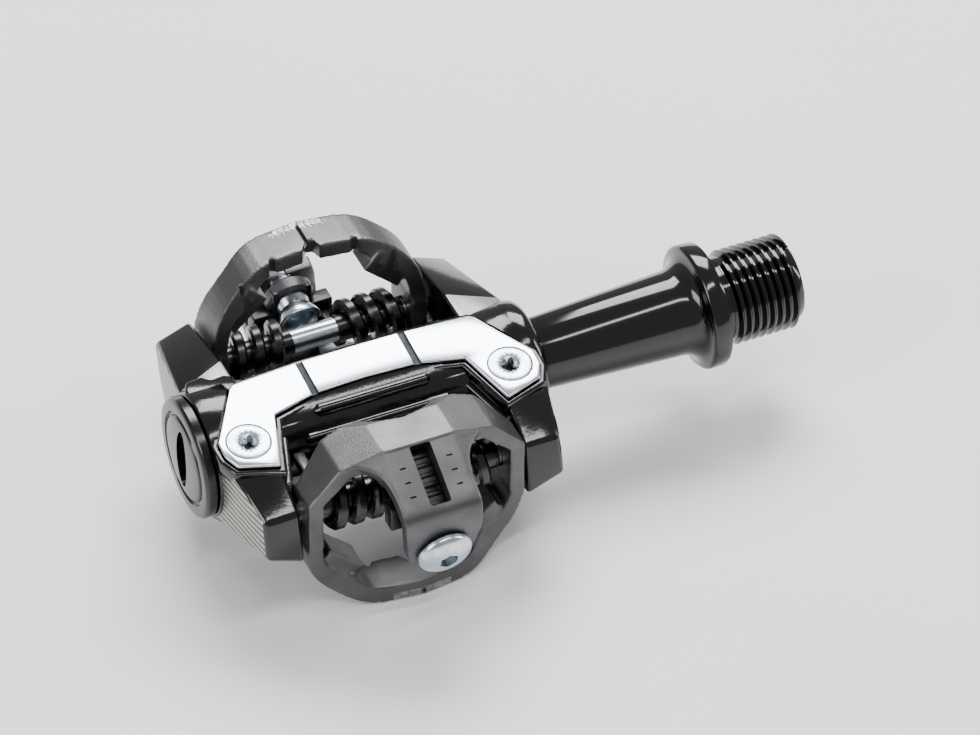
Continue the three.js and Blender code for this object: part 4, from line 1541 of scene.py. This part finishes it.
    def nut(self) -> bpy.types.Object:
        """The tension nut, with wings for the spring legs and a marked top under the window.

        Returns:
            The closed nut.
        """
        front, half = self.nut_front, self.stem_half
        stem = [(front, 4.4), (-26.7, 4.0), (-26.7, -2.6), (front, -3.0)]
        wings = [(front, 4.8), (-26.9, 4.6), (-26.9, 0.7), (front, 0.7)]
        width, length = self.window
        reach = width / 2 + 1.2
        indicator = block("indicator", (-reach, -length / 2, -4.2), (reach, length / 2, -3.1))
        marks = [
            block("mark", (0.3 - reach, y - 0.35, -3.3), (reach - 0.3, y + 0.35, -2.75))
            for y in (-3.6, -2.2, -0.7, 0.7, 2.2, 3.6)
        ]
        parts = [
            rounded(lofted("stem", [[(x, y, z) for y, z in stem] for x in (-half, half)]), 0.3),
            self.wings_with_sockets(wings),
            rounded(block("post", (-1.3, -26.4, 3.5), (1.3, -24.6, 5.9)), 0.2),
            placed(rounded(indicator, 0.2), self.on_slope()),
            *[placed(rounded(mark, 0.1, 2), self.on_slope()) for mark in marks],
        ]
        bore = spun("bore", [(0, 0), (0, self.bore_r), (15, self.bore_r), (15, 0)], 48)
        placed(bore, self.on_adjuster())
        return cut(fused(parts, "nut"), bore)

    def boss(self) -> bpy.types.Object:
        """The nut's rounded boss of cast steel, behind its flared collar."""
        profile = [
            (3.6, self.bore_r), (3.6, 3.5), (3.9, 3.8), (5.4, 3.8), (5.9, 3.4), (6.0, 2.9),
            (6.0, self.bore_r)
        ]
        return placed(spun("boss", profile, 64), self.on_adjuster())

    def wings_with_sockets(self, section: Sequence[Point]) -> bpy.types.Object:
        """The nut's wings. A spring leg slides into each socket as the nut is drawn in.

        Args:
            section: the wings' corners as (y, z).

        Returns:
            The closed wings.
        """
        ends = (-self.wing_half, self.wing_half)
        wings = rounded(lofted("wings", [[(x, y, z) for y, z in section] for x in ends]), 0.25)
        near, far = self.spring_inner - 0.2, self.spring_inner + self.spring_wire + 0.2
        sockets = [
            block("socket", (min(side * near, side * far), -25.95, 1.3),
                  (max(side * near, side * far), -20, 4.1))
            for side in self.sides.values()
        ]
        return cut(wings, *sockets)

    def collar(self) -> bpy.types.Object:
        """The nut's bright flared collar, which points inwards at the pin.

        Returns:
            The closed collar.
        """
        profile = [(5.9, 2.15), (5.9, 2.7), (6.6, 2.6), (7.2, 2.45), (8.1, 2.9), (8.9, 3.3),
                   (9.25, 3.3),
                   (9.4, 3.1), (9.4, 2.5), (8.4, 2.15)]
        return placed(spun("collar", profile, 64), self.on_adjuster())

    def screw(self) -> bpy.types.Object:
        """The adjusting screw: a low domed head with a key socket, and a threaded shank.

        Returns:
            The closed screw.
        """
        dome = quarter(-0.8, -self.head_rise, self.head_r, 10)
        thread = []
        for turn in range(self.screw_turns):
            x = 0.4 + self.screw_pitch * turn
            thread += [(x, 1.7), (x + 0.35, 2.0), (x + 0.45, 2.0)]
        profile = [*dome, (-0.45, self.head_r), (-0.3, self.head_r - 0.15), (-0.3, 2.0), (0.1, 2.0),
                   *thread, (7.0, 1.7),
                   (7.2, 1.4), (7.2, 0)]
        screw = spun("screw", profile, 72)
        socket = prism("socket", wheel(6, lambda _: 1.5), -1.6, 3)
        placed(socket, Matrix.Translation((-2.4, 0, 0)) @ Matrix.Rotation(-math.pi / 2, 4, "Y"))
        return placed(cut(screw, socket), self.on_adjuster())

    def build(self) -> None:
        """Makes the rear set, and the front set as its copy turned over."""
        springs = {name: self.spring(side) for name, side in self.sides.items()}
        shapes = {
            "jaw": self.jaw(), "pin": self.pin(), "nut": self.nut(),
            "collar": self.collar(), "boss": self.boss(),
            "screw": self.screw(), **springs,
        }
        for end in End:
            over = end.turn
            parts = {key: copied(shape, key, over) for key, shape in shapes.items()}
            self.hand_over_set(end, parts)
        for shape in shapes.values():
            bpy.data.objects.remove(shape)

    def hand_over_set(self, end: End, parts: dict[str, bpy.types.Object]) -> None:
        """Hands over one end's pieces.

        Args:
            end: the end that they belong to.
            parts: the pieces by what they are.
        """
        name = end.value
        jaw, nut, screw = Rides(f"{name}_jaw"), Rides(f"{name}_tension_plate"), Rides(
            f"{name}_adjusting_screw"
        )
        give = self.bench.hand_over
        give(parts["jaw"], f"{name}_jaw_casting", GUNMETAL, jaw, "jaw_steel", f"{name}_jaw",
             patches=[(WORN_GUNMETAL, self.worn)])
        give(
            parts["pin"], f"{name}_pivot_pin_turned", ZINC_STEEL, Rides.BODY, "bright_steel",
            f"{name}_pivot_pin"
        )
        give(
            parts["nut"], f"{name}_tension_nut", BLACK_OXIDE, nut, "black_steel",
            f"{name}_tension_plate"
        )
        give(parts["collar"], f"{name}_tension_nut_collar", ZINC_STEEL, nut, "bright_steel")
        give(parts["boss"], f"{name}_tension_nut_boss", GUNMETAL, nut, "jaw_steel")
        give(parts["screw"], f"{name}_tension_screw", ZINC_STEEL, screw, "bright_steel",
             f"{name}_adjusting_screw")
        for side in self.sides:
            give(parts[side], f"{name}_coil_spring_{side}", SPRING_BLACK, Rides.BODY,
                 "spring_steel",
                 f"{name}_spring_{side}")


@dataclass(frozen=True)
class Softbox:
    """A rectangular light: its azimuth and elevation in degrees, and its sizes in metres."""

    name: str
    angles: Point
    size: Point
    power: float
    reach: float = 0.9


@dataclass
class Studio:
    """A plain pale floor, soft lights and the camera."""

    azimuth: float = -23.98
    elevation: float = 42.07
    distance: float = 0.9736
    lens: float = 245.0
    fill: float = 0.5
    lights: tuple[Softbox, ...] = (
        Softbox("overhead_softbox", angles=(156, 52), size=(0.6, 0.42), power=13),
        Softbox("left_softbox", angles=(-80, 30), size=(0.3, 0.5), power=4),
        Softbox("front_strip", angles=(10, 70), size=(0.7, 0.08), power=3),
        Softbox("right_strip", angles=(75, 25), size=(0.12, 0.5), power=2.5),
    )

    def direction(self, azimuth: float, elevation: float) -> Vector:
        """The way from the pedal towards a place seen at these angles, in degrees."""
        a, e = math.radians(azimuth), math.radians(elevation)
        return Vector((math.sin(a) * math.cos(e), -math.cos(a) * math.cos(e), math.sin(e)))

    def camera(self, target: Vector) -> None:
        """Puts the camera where it looks at a target.

        Args:
            target: what the camera looks at.
        """
        data = bpy.data.cameras.new("camera")
        data.lens = self.lens
        data.clip_end = 20
        camera = bpy.data.objects.new("camera", data)
        bpy.context.scene.collection.objects.link(camera)
        camera.location = target + self.direction(self.azimuth, self.elevation) * self.distance
        camera.rotation_euler = (target - camera.location).to_track_quat("-Z", "Y").to_euler()
        bpy.context.scene.camera = camera

    def softbox(self, box: Softbox, target: Vector) -> None:
        """Hangs a light that faces the pedal.

        Args:
            box: the light's size, place and power.
            target: where it points.
        """
        data = bpy.data.lights.new(box.name, "AREA")
        data.shape = "RECTANGLE"
        data.size, data.size_y = box.size
        data.energy = box.power
        light = bpy.data.objects.new(box.name, data)
        bpy.context.scene.collection.objects.link(light)
        light.location = target + self.direction(*box.angles) * box.reach
        light.rotation_euler = (target - light.location).to_track_quat("-Z", "Y").to_euler()

    def floor(self, height: float) -> None:
        """A wide pale floor that the pedal lies on.

        Args:
            height: the height of the floor, in metres.
        """
        deselect()
        bpy.ops.mesh.primitive_plane_add(size=6)
        floor = bpy.context.object
        floor.name = "floor"
        placed(floor, Matrix.Translation((0, 0, height)))
        paper = Finish(
            name="white_paper_backdrop", colour="#f4f4f4", shade="#f1f1f1",
            metallic=0.0, roughness=0.7, spread=0.03,
            mottle_mm=60, grain_mm=3, relief=0.01,
        )
        floor.data.materials.append(paper.material())
        floor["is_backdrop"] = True

    def build(self, low: Vector, high: Vector) -> None:
        """Sets up everything round the pedal's box.

        Args:
            low: the box's lowest corner.
            high: its highest corner.
        """
        target = (low + high) / 2
        self.camera(target)
        self.floor(low.z - 0.02 * MM)
        for box in self.lights:
            self.softbox(box, target)
        world = bpy.data.worlds.new("studio")
        world.use_nodes = True
        background = world.node_tree.nodes["Background"]
        background.inputs["Color"].default_value = linear("#f2f4f6")
        background.inputs["Strength"].default_value = self.fill
        bpy.context.scene.world = world


def main() -> None:
    """Builds the whole pedal round its frame."""
    logging.basicConfig(level=logging.INFO, format="%(name)s: %(message)s")
    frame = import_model()
    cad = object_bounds()
    pivot = next(joint for joint in frame["joints"] if joint["name"] == "rear_jaw_pivot")
    bench = Bench(middle_x=pivot["pos_m"][0])
    Studio().build(*cad)
    casting = Casting(bench)
    Spindle(bench).build()
    casting.build()
    CleatPlates(bench, casting).build()
    BarrelEnds(bench).build()
    JawSet(bench, pin_y=pivot["pos_m"][1] / MM).build()
    bench.dress(
        frame, BEARING_STEEL, "bearing_inner_race", "bearing_outer_race", "bearing_ball_cage"
    )
    bench.dress(frame, BLACK_OXIDE, "bearing_cap_side_shield", "bearing_crank_side_shield")
    bench.dress(frame, ZINC_STEEL, "lock_nut", "lock_washer")
    bench.dress(frame, BUSH_POLYMER, "plain_bush")
    bench.dress(frame, NITRILE, "cap_o_ring")


if __name__ == "__main__":
    main()
